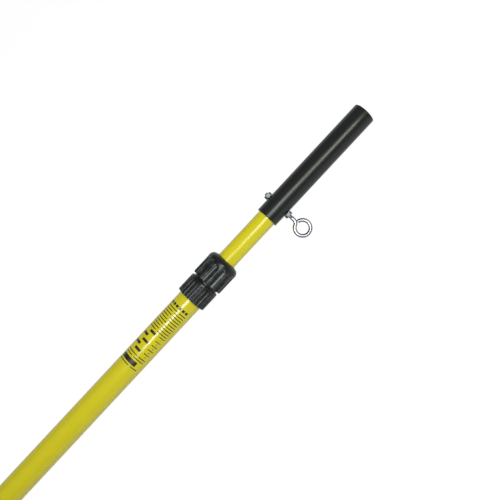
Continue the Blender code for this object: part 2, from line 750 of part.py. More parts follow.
def eye_bolt(section, metal, sleeve, tube):
    """The wire eye crosswise through the sleeve, its nuts and the spacer inside."""
    bolt = empty("bolt_axis", section, BOLT_STATION, math.pi / 2 + EYE_DROOP)
    tail = -(EYE_NUT_FOOT + NUT_THICKNESS + BOLT_TAIL)

    curve = bpy.data.curves.new("eye_bolt", "CURVE")
    curve.dimensions = "3D"
    curve.bevel_depth = WIRE_RADIUS
    curve.bevel_resolution = WIRE_SIDE_STEPS
    curve.use_fill_caps = True
    route = eye_bolt_route(tail)
    spline = curve.splines.new("POLY")
    spline.points.add(len(route) - 1)
    for point, spot in zip(spline.points, route):
        point.co = (*spot, 1)
    wire = bpy.data.objects.new("eye_bolt", curve)
    bpy.data.collections[POLE_COLLECTION].objects.link(wire)
    wire.parent = bolt
    curve.materials.append(metal)

    hex_nut("eye_nut", EYE_NUT_FOOT, bolt, metal)
    hex_nut("far_nut", -EYE_NUT_FOOT - NUT_THICKNESS, bolt, metal)

    half = math.sqrt(INNER_BORE**2 - SPACER_RADIUS**2) - FIT
    outline = [
        (SPACER_RADIUS, half),
        (SPACER_RADIUS, -half),
        (BOLT_HOLE, -half),
        (BOLT_HOLE, half),
    ]
    spacer = place("bolt_spacer", outline_mesh("bolt_spacer", outline, True), metal, bolt)
    screw(spacer, SMALL_ROUND_STEPS)

    hole = drill("bolt_hole", BOLT_HOLE, 4 * SLEEVE_RADIUS, bolt)
    cut(sleeve, [hole])
    cut(tube, [hole])


def build():
    """Model the whole pole."""
    clear_scene()
    new_collection(POLE_COLLECTION)
    new_collection(CUTTER_COLLECTION)

    yellow = finish("yellow_fibreglass", (0.66, 0.57, 0.03), 0.22, coat=0.4)
    black = finish("black_moulded_plastic", (0.02, 0.022, 0.022), 0.35)
    sleeve_black = finish("black_sleeve_plastic", (0.022, 0.024, 0.024), 0.3)
    nylon = finish("white_nylon", (0.75, 0.75, 0.72), 0.45)
    rubber = finish("black_rubber", (0.015, 0.015, 0.015), 0.7)
    zinc = finish("zinc_plated_steel", (0.62, 0.62, 0.64), 0.28, metallic=1.0)

    base = empty("base_section")
    travel = empty("lock_travel", base, LOCK_NUT_STATION)
    twist = empty("lock_twist", travel)
    carriage = empty("extension_carriage", base, GLIDE_RING_END)
    section = empty("inner_section", carriage, -GLIDE_RING_END)

    wide_tube = base_tube(base, yellow)
    butt(base, rubber, nylon, zinc, wide_tube)
    lock_body(base, black, zinc, wide_tube)
    mouth_bush(base, nylon)
    collet(base, nylon)
    thrust_ring(travel, nylon)
    lock_nut(twist, black)
    wiper_ring(twist, rubber)

    thin_tube = inner_tube(section, yellow)
    glide_ring(carriage, nylon)
    end_plug(section, nylon, zinc, thin_tube)
    tip_plug(section, nylon)
    sleeve = tip_sleeve(section, sleeve_black)
    eye_bolt(section, zinc, sleeve, thin_tube)


build()
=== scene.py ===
"""Looks of a telescopic fibreglass pole with a twist lock, a tip socket and an eye bolt.

Lengths are metres. The pole lies along +X with its butt face at the origin, and stations
are distances along it. It rests on its lock nut, and the eye droops to the same floor.
"""

import logging
import math
from collections.abc import Callable, Iterator
from dataclasses import dataclass, field
from enum import Enum
from functools import cached_property

import bmesh
import bpy
from mathutils import Matrix, Vector


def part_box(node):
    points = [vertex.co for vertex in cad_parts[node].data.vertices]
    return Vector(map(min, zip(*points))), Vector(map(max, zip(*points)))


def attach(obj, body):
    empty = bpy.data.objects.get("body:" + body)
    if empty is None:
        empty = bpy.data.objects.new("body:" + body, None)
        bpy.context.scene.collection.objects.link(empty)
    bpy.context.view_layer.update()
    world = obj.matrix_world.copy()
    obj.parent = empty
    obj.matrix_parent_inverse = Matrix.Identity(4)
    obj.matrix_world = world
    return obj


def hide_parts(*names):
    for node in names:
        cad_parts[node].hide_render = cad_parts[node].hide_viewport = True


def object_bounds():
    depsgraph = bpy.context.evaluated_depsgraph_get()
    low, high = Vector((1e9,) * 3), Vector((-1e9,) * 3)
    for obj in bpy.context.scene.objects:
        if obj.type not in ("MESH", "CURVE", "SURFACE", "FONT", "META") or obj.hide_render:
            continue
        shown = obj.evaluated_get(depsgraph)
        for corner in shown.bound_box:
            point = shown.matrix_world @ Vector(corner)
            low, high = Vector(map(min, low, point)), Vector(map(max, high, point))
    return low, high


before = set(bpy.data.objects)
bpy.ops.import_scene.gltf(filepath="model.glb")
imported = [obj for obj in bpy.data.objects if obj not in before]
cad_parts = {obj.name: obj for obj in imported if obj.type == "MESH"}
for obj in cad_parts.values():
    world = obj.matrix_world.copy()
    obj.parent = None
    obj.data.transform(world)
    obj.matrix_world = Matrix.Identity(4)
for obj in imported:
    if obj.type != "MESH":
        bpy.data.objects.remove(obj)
cad_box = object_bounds()
log = logging.getLogger("telescopic_pole")

Colour = tuple[float, float, float]
Shape = bmesh.types.BMesh
Socket = bpy.types.NodeSocket

# Values that several pieces share
ROUND_STEPS = 160
SMALL_STEPS = 48
ARC_STEPS = 4
WELD = 1e-6
EPSILON = 1e-5
SHARP_DEGREES = 38.0
FLAT_DEGREES = 1.0
BROKEN_EDGE = 0.00015
TUBE_ROW = 0.03
PLASTIC_IOR = 1.45
WIRE_RADIUS = 0.003175
UP = Vector((0.0, 0.0, 1.0))
SCREWS = ("lock_body_screw_1", "lock_body_screw_2")


class Slot(Enum):
    """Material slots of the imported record."""

    YELLOW = "yellow_fibreglass"
    BLACK = "black_moulded_plastic"
    SLEEVE = "black_sleeve_plastic"
    RUBBER = "black_rubber"
    NYLON = "white_nylon"
    ZINC = "zinc_plated_steel"


class Body(Enum):
    """Bodies that pieces ride on."""

    BASE = "base_section"
    FOLLOWER = "lock_follower"
    NUT = "lock_collar"
    CARRIAGE = "carriage"
    INNER = "inner_section"


def span(node: str) -> tuple[float, float]:
    """Stations at which a CAD node starts and ends."""
    low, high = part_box(node)
    return low.x, high.x


def middle_of(node: str) -> float:
    """Station of a CAD node's middle."""
    return sum(span(node)) / 2


def on_axis(node: str) -> Vector:
    """The place on the pole's axis at a CAD node's middle."""
    return Vector((middle_of(node), 0.0, 0.0))


def outer_radius(node: str) -> float:
    """Radius of a round CAD node on the pole's axis."""
    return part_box(node)[1].z


def across_direction(node: str) -> Vector:
    """Outward direction of a small CAD node that stands off the pole's axis."""
    low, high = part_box(node)
    middle = (low + high) / 2
    return Vector((0.0, middle.y, middle.z)).normalized()


@dataclass(frozen=True)
class PoleAxes:
    """Directions that the droop of the eye sets."""

    along: Vector = Vector((1.0, 0.0, 0.0))

    @cached_property
    def droop(self) -> float:
        """Angle of the eye bolt below the horizon, which its far nut shows on its other side."""
        away = across_direction("far_nut")
        return math.atan2(away.z, away.y)

    @cached_property
    def to_eye(self) -> Vector:
        """Outward direction of the eye bolt."""
        return Vector((0.0, -math.cos(self.droop), -math.sin(self.droop)))

    @cached_property
    def to_camera(self) -> Vector:
        """Direction square to the pole and to the eye bolt, upwards."""
        return Vector((0.0, -math.sin(self.droop), math.cos(self.droop)))

    def place(self, station: float, to_eye: float, to_camera: float) -> Vector:
        """A place given by its station and its offsets towards the eye and the camera."""
        return self.along * station + self.to_eye * to_eye + self.to_camera * to_camera


AXES = PoleAxes()


# Meshes


@dataclass(frozen=True)
class Corner:
    """A corner of an outline, with the radius that rounds it."""

    station: float
    radius: float
    rounding: float = 0.0

    @property
    def point(self) -> Vector:
        """The corner before it is rounded."""
        return Vector((self.station, self.radius))


def rounded(corners: list[Corner], steps: int = ARC_STEPS) -> list[Vector]:
    """Points of an outline whose corners are rounded.

    Args:
        corners: corners in order round the outline.
        steps: chords in each rounded corner.

    Returns:
        (station, radius) points.
    """
    points = []
    for index, corner in enumerate(corners):
        here = corner.point
        if not corner.rounding:
            points.append(here)
            continue
        back = (corners[index - 1].point - here).normalized()
        ahead = (corners[(index + 1) % len(corners)].point - here).normalized()
        half = back.angle(ahead) / 2
        reach = corner.rounding / math.tan(half)
        centre = here + (back + ahead).normalized() * corner.rounding / math.sin(half)
        first = here + back * reach - centre
        last = here + ahead * reach - centre
        turn = first.angle_signed(last)
        for step in range(steps + 1):
            points.append(centre + Matrix.Rotation(-turn * step / steps, 2) @ first)
    return points


def spaced(points: list[Vector], row_at: Callable[[float], float],
           above: float = 0.0) -> list[Vector]:
    """Divide an outline's chords that lie farther out than a radius.

    Args:
        points: points of a closed outline.
        row_at: height of a row for a station.
        above: radius below which chords stay as they are.

    Returns:
        The points with more between them.
    """
    made = []
    for here, after in zip(points, points[1:] + points[:1]):
        made.append(here)
        length = (after - here).length
        if min(here.y, after.y) < above:
            continue
        gone = row_at(here.x)
        while gone < length - row_at(made[-1].x) / 2:
            made.append(here.lerp(after, gone / length))
            gone += row_at(made[-1].x)
    return made


def spun(points: list[Vector], steps: int = ROUND_STEPS, closed: bool = True) -> Shape:
    """Spin an outline round the pole's axis.

    Args:
        points: (station, radius) points.
        steps: number of faces round the axis.
        closed: False where the outline starts and ends on the axis.

    Returns:
        A closed skin with its faces pointing outwards.
    """
    shape = bmesh.new()
    ring = [shape.verts.new((point.x, 0.0, point.y)) for point in points]
    following = ring[1:] + ring[:1] if closed else ring[1:]
    edges = [shape.edges.new(pair) for pair in zip(ring, following)]
    bmesh.ops.spin(
        shape, geom=ring + edges, cent=(0, 0, 0), axis=(1, 0, 0),
        angle=2 * math.pi, steps=steps, use_merge=True,
    )
    bmesh.ops.remove_doubles(shape, verts=shape.verts, dist=WELD)
    bmesh.ops.recalc_face_normals(shape, faces=shape.faces)
    return shape


def reshape(shape: Shape, above: float, radius_at: Callable[[float, float, float], float]) -> None:
    """Move a spun skin's vertices in or out.

    Args:
        shape: the skin.
        above: radius below which vertices stay.
        radius_at: new radius for a station, an angle from +Z towards +Y, and a radius.
    """
    for vert in shape.verts:
        radius = math.hypot(vert.co.y, vert.co.z)
        if radius <= above:
            continue
        angle = math.atan2(vert.co.y, vert.co.z)
        share = radius_at(vert.co.x, angle, radius) / radius
        vert.co.y *= share
        vert.co.z *= share


def tube(start: float, end: float, bore: float, radius: float, rounding: float) -> Shape:
    """A round tube with rounded rims, divided along its length."""
    corners = [
        Corner(start, bore, rounding),
        Corner(start, radius, rounding),
        Corner(end, radius, rounding),
        Corner(end, bore, rounding),
    ]
    return spun(spaced(rounded(corners), lambda station: TUBE_ROW))


def placement(first: Vector, second: Vector, third: Vector, place: Vector) -> Matrix:
    """The matrix that turns the X, Y and Z axes to three vectors, and moves them to a place."""
    return Matrix.Translation(place) @ Matrix((first, second, third)).transposed().to_4x4()


def linked(name: str, data: bpy.types.ID) -> bpy.types.Object:
    """A new object in the scene."""
    thing = bpy.data.objects.new(name, data)
    bpy.context.scene.collection.objects.link(thing)
    return thing


def meshed(name: str, shape: Shape) -> bpy.types.Object:
    """A new mesh object of a shape, which is freed."""
    mesh = bpy.data.meshes.new(name)
    shape.to_mesh(mesh)
    shape.free()
    return linked(name, mesh)


def subtracted(shape: Shape, tool: Shape) -> Shape:
    """Cut a tool's shape out of another, which gives a new shape and frees both."""
    solid = meshed("working", shape)
    cutter = meshed("working", tool)
    cut = solid.modifiers.new("Cut", "BOOLEAN")
    cut.operation = "DIFFERENCE"
    cut.solver = "EXACT"
    cut.object = cutter
    evaluated = solid.evaluated_get(bpy.context.evaluated_depsgraph_get())
    made = bmesh.new()
    made.from_mesh(evaluated.to_mesh())
    for thing in (solid, cutter):
        mesh = thing.data
        bpy.data.objects.remove(thing, do_unlink=True)
        bpy.data.meshes.remove(mesh)
    return made


def drilled(shape: Shape, centre: Vector, direction: Vector, radius: float, length: float) -> Shape:
    """Cut a round hole, centred on a place, through a shape."""
    turn = direction.to_track_quat("Z", "Y").to_matrix().to_4x4()
    tool = bmesh.new()
    bmesh.ops.create_cone(
        tool, cap_ends=True, segments=SMALL_STEPS, radius1=radius, radius2=radius,
        depth=length, matrix=Matrix.Translation(centre) @ turn,
    )
    return subtracted(shape, tool)


def drilled_for_pin(shape: Shape, pin: str, clearance: float, length: float) -> Shape:
    """Cut an upright hole for a pin's CAD node, with a clearance round the pin."""
    low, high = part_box(pin)
    radius = (high.x - low.x) / 2 + clearance
    return drilled(shape, (low + high) / 2, UP, radius, length)


def aimed(shape: Shape, origin: Vector, direction: Vector) -> Shape:
    """Turn a shape made round the X axis so that X points along a direction, from an origin."""
    turn = direction.to_track_quat("X", "Z").to_matrix().to_4x4()
    bmesh.ops.transform(shape, matrix=Matrix.Translation(origin) @ turn, verts=shape.verts)
    return shape


def swept(stops: list[Matrix], steps: int) -> Shape:
    """Draw a circle of one metre radius through a list of placements.

    Args:
        stops: matrices that turn, scale and place the circle, whose plane is local XY.
        steps: number of faces round the wire.

    Returns:
        A closed skin.
    """
    shape = bmesh.new()
    start = bmesh.ops.create_circle(shape, radius=1.0, segments=steps, matrix=stops[0])
    first = list({edge for vert in start["verts"] for edge in vert.link_edges})
    ring = first
    for before, after in zip(stops, stops[1:]):
        made = bmesh.ops.extrude_edge_only(shape, edges=ring)["geom"]
        verts = [part for part in made if isinstance(part, bmesh.types.BMVert)]
        among = set(verts)
        edges = [part for part in made if isinstance(part, bmesh.types.BMEdge)]
        ring = [edge for edge in edges if among.issuperset(edge.verts)]
        bmesh.ops.transform(shape, matrix=after @ before.inverted(), verts=verts)
    for rim in (first, ring):
        bmesh.ops.contextual_create(shape, geom=rim)
    bmesh.ops.recalc_face_normals(shape, faces=shape.faces)
    return shape


def smooth_least(first: float, second: float, blend: float) -> float:
    """The lesser of two lengths, with the change between them rounded over a blend."""
    return (first + second - math.hypot(first - second, blend)) / 2


# Node trees


@dataclass(frozen=True)
class Tree:
    """Short calls for building a shader node tree."""

    node_tree: bpy.types.NodeTree

    def add(self, kind: str, inputs: dict | None = None, **settings: object) -> bpy.types.Node:
        """Add a shader node.

        Args:
            kind: type of node, without its ShaderNode prefix.
            inputs: sockets' names or numbers, with a value or a socket to link.
            settings: properties of the node.

        Returns:
            The node.
        """
        node = self.node_tree.nodes.new(f"ShaderNode{kind}")
        for name, value in settings.items():
            setattr(node, name, value)
        for name, value in (inputs or {}).items():
            self.feed(node, name, value)
        return node

    def math(self, operation: str, first: Socket | float, second: Socket | float) -> Socket:
        """Work out one value from two."""
        return self.add("Math", {0: first, 1: second}, operation=operation).outputs[0]

    def ramp(self, value: Socket, low: float, high: float, least: float = 0.0,
             most: float = 1.0) -> Socket:
        """Stretch a value's range from low to high over another, with soft ends."""
        inputs = {0: value, 1: low, 2: high, 3: least, 4: most}
        return self.add("MapRange", inputs, interpolation_type="SMOOTHSTEP").outputs[0]

    def mix(self, share: Socket | float, first: Socket | Colour, second: Socket | Colour) -> Socket:
        """Mix two colours."""
        inputs = {0: share, 6: opaque(first), 7: opaque(second)}
        return self.add("Mix", inputs, data_type="RGBA").outputs[2]

    def noise(self, vector: Socket, scale: Socket | float, detail: float,
              roughness: float = 0.5) -> Socket:
        """Cloudy noise from 0 to 1."""
        inputs = {"Vector": vector, "Scale": scale, "Detail": detail, "Roughness": roughness}
        return self.add("TexNoise", inputs).outputs[0]

    def place(self) -> Socket:
        """The piece's own coordinates, which are metres in the pole's frame."""
        return self.add("TexCoord").outputs["Object"]

    def attribute(self, name: str) -> Socket:
        """A number that the mesh keeps at each vertex."""
        return self.add("Attribute", attribute_name=name).outputs["Fac"]

    def bump(self, height: Socket, depth: float) -> Socket:
        """A normal for a height from 0 to 1 over a depth in metres."""
        inputs = {"Height": height, "Distance": depth, "Strength": 1.0}
        return self.add("Bump", inputs).outputs["Normal"]

    def use(self, pattern: "Pattern", **inputs: Socket | float) -> Socket:
        """Place a pattern's group, with inputs under their names in lower case."""
        node = self.add("Group", node_tree=pattern.group())
        for name, value in inputs.items():
            self.feed(node, name.capitalize(), value)
        return node.outputs[0]

    def feed(self, node: bpy.types.Node, name: str | int, value: object) -> None:
        """Link a socket to a node's input, or set the input to a plain value."""
        if isinstance(value, bpy.types.NodeSocket):
            self.node_tree.links.new(value, node.inputs[name])
        else:
            node.inputs[name].default_value = value

    def find(self, kind: str) -> bpy.types.Node:
        """The tree's first node of a type."""
        return next(node for node in self.node_tree.nodes if node.type == kind)

    def surface(self, shader: bpy.types.Node) -> None:
        """Make a shader the material's surface."""
        self.feed(self.find("OUTPUT_MATERIAL"), "Surface", shader.outputs[0])

    def shade(self, inputs: dict[str, object]) -> None:
        """Make a Principled shader with these inputs the material's surface."""
        self.surface(self.add("BsdfPrincipled", inputs))

    def seen(self, mirrored: float) -> Socket:
        """1 for what the camera sees straight or through glass, and a share for gloss."""
        path = self.add("LightPath").outputs
        gloss = self.math("MULTIPLY", path["Is Glossy Ray"], mirrored)
        straight = self.math("MAXIMUM", path["Is Camera Ray"], gloss)
        return self.math("MAXIMUM", straight, path["Is Transmission Ray"])


def bare_material(name: str) -> bpy.types.Material:
    """A new material that has only its output node."""
    made = bpy.data.materials.new(name)
    made.use_nodes = True
    made.node_tree.nodes.remove(made.node_tree.nodes["Principled BSDF"])
    return made


def opaque(value: Socket | Colour) -> Socket | tuple[float, ...]:
    """A colour with its alpha, where it isn't a socket."""
    return value if isinstance(value, bpy.types.NodeSocket) else (*value, 1.0)


@dataclass(frozen=True)
class Pattern:
    """A node group with one output, Value, which the materials share."""

    name: str
    numbers: tuple[str, ...]
    fill: Callable[..., Socket]

    def group(self) -> bpy.types.NodeTree:
        """The group, made the first time it is asked for."""
        made = bpy.data.node_groups.get(self.name)
        if made is None:
            made = bpy.data.node_groups.new(self.name, "ShaderNodeTree")
            face = made.interface
            face.new_socket("Vector", in_out="INPUT", socket_type="NodeSocketVector")
            for title in self.numbers:
                face.new_socket(title, in_out="INPUT", socket_type="NodeSocketFloat")
            face.new_socket("Value", in_out="OUTPUT", socket_type="NodeSocketFloat")
            start = made.nodes.new("NodeGroupInput")
            end = made.nodes.new("NodeGroupOutput")
            sockets = [start.outputs[title] for title in ("Vector", *self.numbers)]
            made.links.new(self.fill(Tree(made), *sockets), end.inputs["Value"])
        return made


def lines_along(tree: Tree, vector: Socket, scale: Socket, stretch: Socket) -> Socket:
    """Fine lines along the pole, as a die or a draw bench leaves them."""
    short = tree.math("DIVIDE", scale, stretch)
    size = tree.add("CombineXYZ", {0: short, 1: scale, 2: scale}).outputs[0]
    place = tree.add("VectorMath", {0: vector, 1: size}, operation="MULTIPLY").outputs[0]
    return tree.noise(place, 1.0, 3.0, 0.6)


def handling_marks(tree: Tree, vector: Socket, scale: Socket, amount: Socket) -> Socket:
    """Short faint marks of handling, gathered in patches."""
    patches = tree.ramp(tree.noise(vector, scale, 3.0), 0.48, 0.66)
    squeeze = {0: vector, 1: (0.25, 1.0, 1.4)}
    place = tree.add("VectorMath", squeeze, operation="MULTIPLY").outputs[0]
    fine = tree.math("MULTIPLY", scale, 14.0)
    marks = {"Vector": place, "Scale": fine, "Detail": 4.0, "Roughness": 0.7, "Distortion": 0.6}
    streaks = tree.ramp(tree.add("TexNoise", marks).outputs[0], 0.56, 0.72)
    return tree.math("MULTIPLY", tree.math("MULTIPLY", patches, streaks), amount)


def fine_grain(tree: Tree, vector: Socket, scale: Socket) -> Socket:
    """The fine even grain of a moulded or plated surface."""
    cloud = tree.noise(vector, scale, 5.0)
    spots = tree.add("TexVoronoi", {"Vector": vector, "Scale": scale}).outputs["Distance"]
    return tree.math("ADD", cloud, tree.math("MULTIPLY", spots, 0.35))


DRAW_LINES = Pattern("Lines along the pole", ("Scale", "Stretch"), lines_along)
SCUFFS = Pattern("Scuffs", ("Scale", "Amount"), handling_marks)
GRAIN = Pattern("Fine grain", ("Scale",), fine_grain)


# Finishes


@dataclass(frozen=True)
class Finish:
    """A surface's colour and gloss, which is made into one material."""

    name: str
    slot: Slot
    colour: Colour
    roughness: float

    def material(self) -> bpy.types.Material:
        """The Blender material, made the first time it is asked for."""
        made = bpy.data.materials.get(self.name)
        if made is None:
            made = bare_material(self.name)
            self.paint(Tree(made.node_tree))
            made.diffuse_color = (*self.colour, 1.0)
        return made

    def paint(self, tree: Tree) -> None:
        """Build the material's nodes."""
        raise NotImplementedError


@dataclass(frozen=True)
class Fibreglass(Finish):
    """Pigmented resin over drawn glass fibres, with a clear gloss and handling marks."""

    fibre_colour: Colour = (0.60, 0.49, 0.010)
    pale_colour: Colour = (0.74, 0.66, 0.035)
    scuff_colour: Colour = (0.46, 0.42, 0.10)
    wear: float = 0.5
    specular: float = 0.42
    coat: float = 0.28
    coat_roughness: float = 0.12

    def paint(self, tree: Tree) -> None:
        """Fibres along the pole, a cloudy veil under the resin and scuffs on it."""
        place = tree.place()
        fibres = tree.use(DRAW_LINES, vector=place, scale=900.0, stretch=60.0)
        strands = tree.use(DRAW_LINES, vector=place, scale=260.0, stretch=24.0)
        veil = tree.noise(place, 55.0, 5.0, 0.62)
        marks = tree.use(SCUFFS, vector=place, scale=22.0, amount=self.wear)
        body = tree.mix(tree.ramp(strands, 0.38, 0.66, 0.0, 0.08), self.colour, self.fibre_colour)
        body = tree.mix(tree.ramp(fibres, 0.55, 0.75, 0.0, 0.05), body, self.pale_colour)
        body = tree.mix(tree.ramp(veil, 0.42, 0.70, 0.0, 0.10), body, self.pale_colour)
        body = tree.mix(tree.math("MULTIPLY", marks, 0.06), body, self.scuff_colour)
        tree.shade({
            "Base Color": body,
            "Roughness": tree.ramp(marks, 0.0, 1.0, self.roughness, self.roughness + 0.02),
            "IOR": PLASTIC_IOR,
            "Specular IOR Level": self.specular,
            "Coat Weight": self.coat,
            "Coat Roughness": self.coat_roughness,
        })


@dataclass(frozen=True)
class MouldedPlastic(Finish):
    """Black moulded plastic with a satin grain, painted paler along its groove edges as a painted
    highlight that also stands for rubbing.
    """

    grain: float = 2200.0
    relief: float = 0.000004
    # paler colour for random tone, for scuffs, and for the painted highlight along the groove edges
    highlight_and_rubbed_colour: Colour = (0.105, 0.118, 0.110)
    dust_colour: Colour = (0.040, 0.040, 0.036)
    specular: float = 0.36

    def paint(self, tree: Tree) -> None:
        """Grain over the whole, groove edges from the mesh's own attribute painted paler as a painted
        highlight and rubbing, and dust in hollows.
        """
        place = tree.place()
        grain = tree.use(GRAIN, vector=place, scale=self.grain)
        cloud = tree.noise(place, 90.0, 4.0, 0.6)
        marks = tree.use(SCUFFS, vector=place, scale=60.0, amount=0.8)
        # edge marks the groove edges, which the paint lightens: a painted highlight, partly rubbing
        # wear
        edge = tree.math("MULTIPLY", tree.attribute("edge"), tree.ramp(cloud, 0.35, 0.7))
        hollow = tree.math("MULTIPLY", tree.attribute("hollow"), tree.ramp(cloud, 0.40, 0.75))
        body = tree.mix(tree.ramp(cloud, 0.3, 0.7, 0.0, 0.07), self.colour, self.highlight_and_rubbed_colour)
        body = tree.mix(tree.math("MULTIPLY", hollow, 0.25), body, self.dust_colour)
        # painted highlight on the groove edges, partly rubbing wear; scuff marks take the same paler
        # colour
        body = tree.mix(tree.math("MAXIMUM", edge, tree.math("MULTIPLY", marks, 0.4)),
                        body, self.highlight_and_rubbed_colour)
        rough = tree.ramp(grain, 0.4, 0.9, self.roughness - 0.04, self.roughness + 0.08)
        rough = tree.math("SUBTRACT", rough, tree.math("MULTIPLY", edge, 0.08))
        tree.shade({
            "Base Color": body,
            "Roughness": rough,
            "Normal": tree.bump(grain, self.relief),
            "IOR": PLASTIC_IOR,
            "Specular IOR Level": self.specular,
        })


@dataclass(frozen=True)
class SleevePlastic(Finish):
    """Black extruded sleeve with faint die lines along it."""

    line_colour: Colour = (0.022, 0.025, 0.024)
    scuff_colour: Colour = (0.07, 0.07, 0.068)
    specular: float = 0.45

    def paint(self, tree: Tree) -> None:
        """Die lines, a soft mottle and scuffs along the tip."""
        place = tree.place()
        lines = tree.use(DRAW_LINES, vector=place, scale=1500.0, stretch=90.0)
        mottle = tree.noise(place, 70.0, 4.0, 0.6)
        marks = tree.use(SCUFFS, vector=place, scale=40.0, amount=0.9)
        body = tree.mix(tree.ramp(lines, 0.4, 0.7, 0.0, 0.6), self.colour, self.line_colour)
        body = tree.mix(tree.math("MULTIPLY", marks, 0.25), body, self.scuff_colour)
        rough = tree.ramp(mottle, 0.3, 0.7, self.roughness - 0.01, self.roughness + 0.01)
        rough = tree.math("ADD", rough, tree.math("MULTIPLY", marks, 0.015))
        tree.shade({
            "Base Color": body,
            "Roughness": rough,
            "IOR": PLASTIC_IOR,
            "Specular IOR Level": self.specular,
        })


@dataclass(frozen=True)
class Rubber(Finish):
    """Matte black rubber with a dusty bloom."""

    bloom_colour: Colour = (0.045, 0.044, 0.042)
    relief: float = 0.00006

    def paint(self, tree: Tree) -> None:
        """A fine grain, and a bloom that gathers in patches."""
        place = tree.place()
        grain = tree.use(GRAIN, vector=place, scale=900.0)
        bloom = tree.noise(place, 70.0, 5.0, 0.65)
        body = tree.mix(tree.ramp(bloom, 0.42, 0.72), self.colour, self.bloom_colour)
        rough = tree.ramp(bloom, 0.3, 0.7, self.roughness - 0.08, self.roughness + 0.1)
        tree.shade({
            "Base Color": body,
            "Roughness": rough,
            "Normal": tree.bump(grain, self.relief),
            "Specular IOR Level": 0.3,
        })


@dataclass(frozen=True)
class Nylon(Finish):
    """Off-white turned or moulded nylon, a little translucent."""

    shade_colour: Colour = (0.60, 0.58, 0.50)
    relief: float = 0.00002

    def paint(self, tree: Tree) -> None:
        """Turning marks round the axis and a slight yellowing."""
        place = tree.place()
        stain = tree.noise(place, 60.0, 4.0, 0.6)
        rings = {"Vector": place, "Scale": 420.0, "Distortion": 0.4, "Detail": 2.0}
        turning = tree.add("TexWave", rings, bands_direction="X").outputs["Fac"]
        body = tree.mix(tree.ramp(stain, 0.4, 0.75, 0.0, 0.5), self.colour, self.shade_colour)
        rough = tree.ramp(turning, 0.0, 1.0, self.roughness - 0.05, self.roughness + 0.06)
        tree.shade({
            "Base Color": body,
            "Roughness": rough,
            "Normal": tree.bump(turning, self.relief),
            "Subsurface Weight": 0.15,
            "Subsurface Radius": (0.004, 0.003, 0.002),
            "Subsurface Scale": 0.5,
        })


@dataclass(frozen=True)
class ZincPlate(Finish):
    """Bright zinc plate with its blue and straw tints."""

    blue_colour: Colour = (0.32, 0.32, 0.43)
    straw_colour: Colour = (0.44, 0.44, 0.38)
    dull_colour: Colour = (0.26, 0.27, 0.27)
    relief: float = 0.00001

    def paint(self, tree: Tree) -> None:
        """Tints that drift over the plate, draw lines, and dull spots."""
        place = tree.place()
        drift = tree.noise(place, 110.0, 3.0, 0.55)
        grain = tree.use(GRAIN, vector=place, scale=2600.0)
        marks = tree.use(SCUFFS, vector=place, scale=120.0, amount=1.0)
        body = tree.mix(tree.ramp(drift, 0.35, 0.55), self.blue_colour, self.colour)
        body = tree.mix(tree.ramp(drift, 0.55, 0.72), body, self.straw_colour)
        body = tree.mix(tree.math("MULTIPLY", marks, 0.6), body, self.dull_colour)
        rough = tree.ramp(grain, 0.4, 1.0, self.roughness - 0.05, self.roughness + 0.1)
        rough = tree.math("ADD", rough, tree.math("MULTIPLY", marks, 0.15))
        tree.shade({
            "Base Color": body,
            "Metallic": 1.0,
            "Roughness": rough,
            "Normal": tree.bump(grain, self.relief),
        })


@dataclass(frozen=True)
class Ink(Finish):
    """Black printing ink, thin in places, so that the yellow below it shows."""

    worn_colour: Colour = (0.20, 0.17, 0.02)
    relief: float = 0.00001

    def paint(self, tree: Tree) -> None:
        """Ink that is thinner in fine specks and along scuffs."""
        place = tree.place()
        specks = tree.noise(place, 2200.0, 3.0, 0.6)
        cloud = tree.noise(place, 160.0, 3.0, 0.5)
        thin = tree.math("MULTIPLY", tree.ramp(specks, 0.50, 0.72), tree.ramp(cloud, 0.35, 0.7))
        body = tree.mix(thin, self.colour, self.worn_colour)
        tree.shade({
            "Base Color": body,
            "Roughness": tree.ramp(specks, 0.3, 0.7, self.roughness, self.roughness + 0.1),
            "Normal": tree.bump(specks, self.relief),
            "Coat Weight": 0.3,
        })


@dataclass(frozen=True)
class Palette:
    """The finishes of the pole."""

    # painted shade: the base tube's yellow is the inner tube's made darker by about a tenth, standing
    # for less light on it
    base_yellow_with_painted_shade: Finish = Fibreglass("Base tube fibreglass", Slot.YELLOW, (0.615, 0.54, 0.0155), 0.16)
    inner_yellow: Finish = Fibreglass(
        "Inner tube fibreglass", Slot.YELLOW, (0.66, 0.58, 0.0155), 0.16, wear=0.7
    )
    collar_black: Finish = MouldedPlastic(
        "Collar plastic", Slot.BLACK, (0.008, 0.010, 0.010), 0.22
    )
    sleeve_black: Finish = SleevePlastic(
        "Sleeve plastic", Slot.SLEEVE, (0.012, 0.0145, 0.0135), 0.26
    )
    rubber: Finish = Rubber("Rubber", Slot.RUBBER, (0.014, 0.014, 0.014), 0.62)
    nylon: Finish = Nylon("Nylon", Slot.NYLON, (0.74, 0.74, 0.70), 0.42)
    zinc: Finish = ZincPlate("Zinc plate", Slot.ZINC, (0.34, 0.35, 0.36), 0.24)
    nut_zinc: Finish = ZincPlate(
        "Dull zinc plate", Slot.ZINC, (0.13, 0.15, 0.14), 0.40,
        blue_colour=(0.10, 0.12, 0.135), straw_colour=(0.17, 0.18, 0.145),
    )
    ink: Finish = Ink("Printing ink", Slot.YELLOW, (0.012, 0.012, 0.010), 0.35)


PALETTE = Palette()


def finished(node: str, shape: Shape, finish: Finish, body: Body, name: str = "",
             replaced: bool = True) -> bpy.types.Object:
    """Make a shape a piece of the pole.

    Args:
        node: CAD node that the piece stands for, or is named after.
        shape: its mesh, which is freed.
        finish: its surface.
        body: body that it rides on.
        name: name of the piece, where it isn't the node's.
        replaced: False where the CAD node stays in sight.

    Returns:
        The piece.
    """
    title = name or f"{node}_finished"
    piece = meshed(title, shape)
    mesh = piece.data
    mesh.shade_smooth()
    mesh.set_sharp_from_angle(angle=math.radians(SHARP_DEGREES))
    mesh.materials.append(finish.material())
    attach(piece, body.value)
    if replaced:
        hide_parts(node)
    log.info("%s: %d faces on %s", title, len(mesh.polygons), body.value)
    return piece


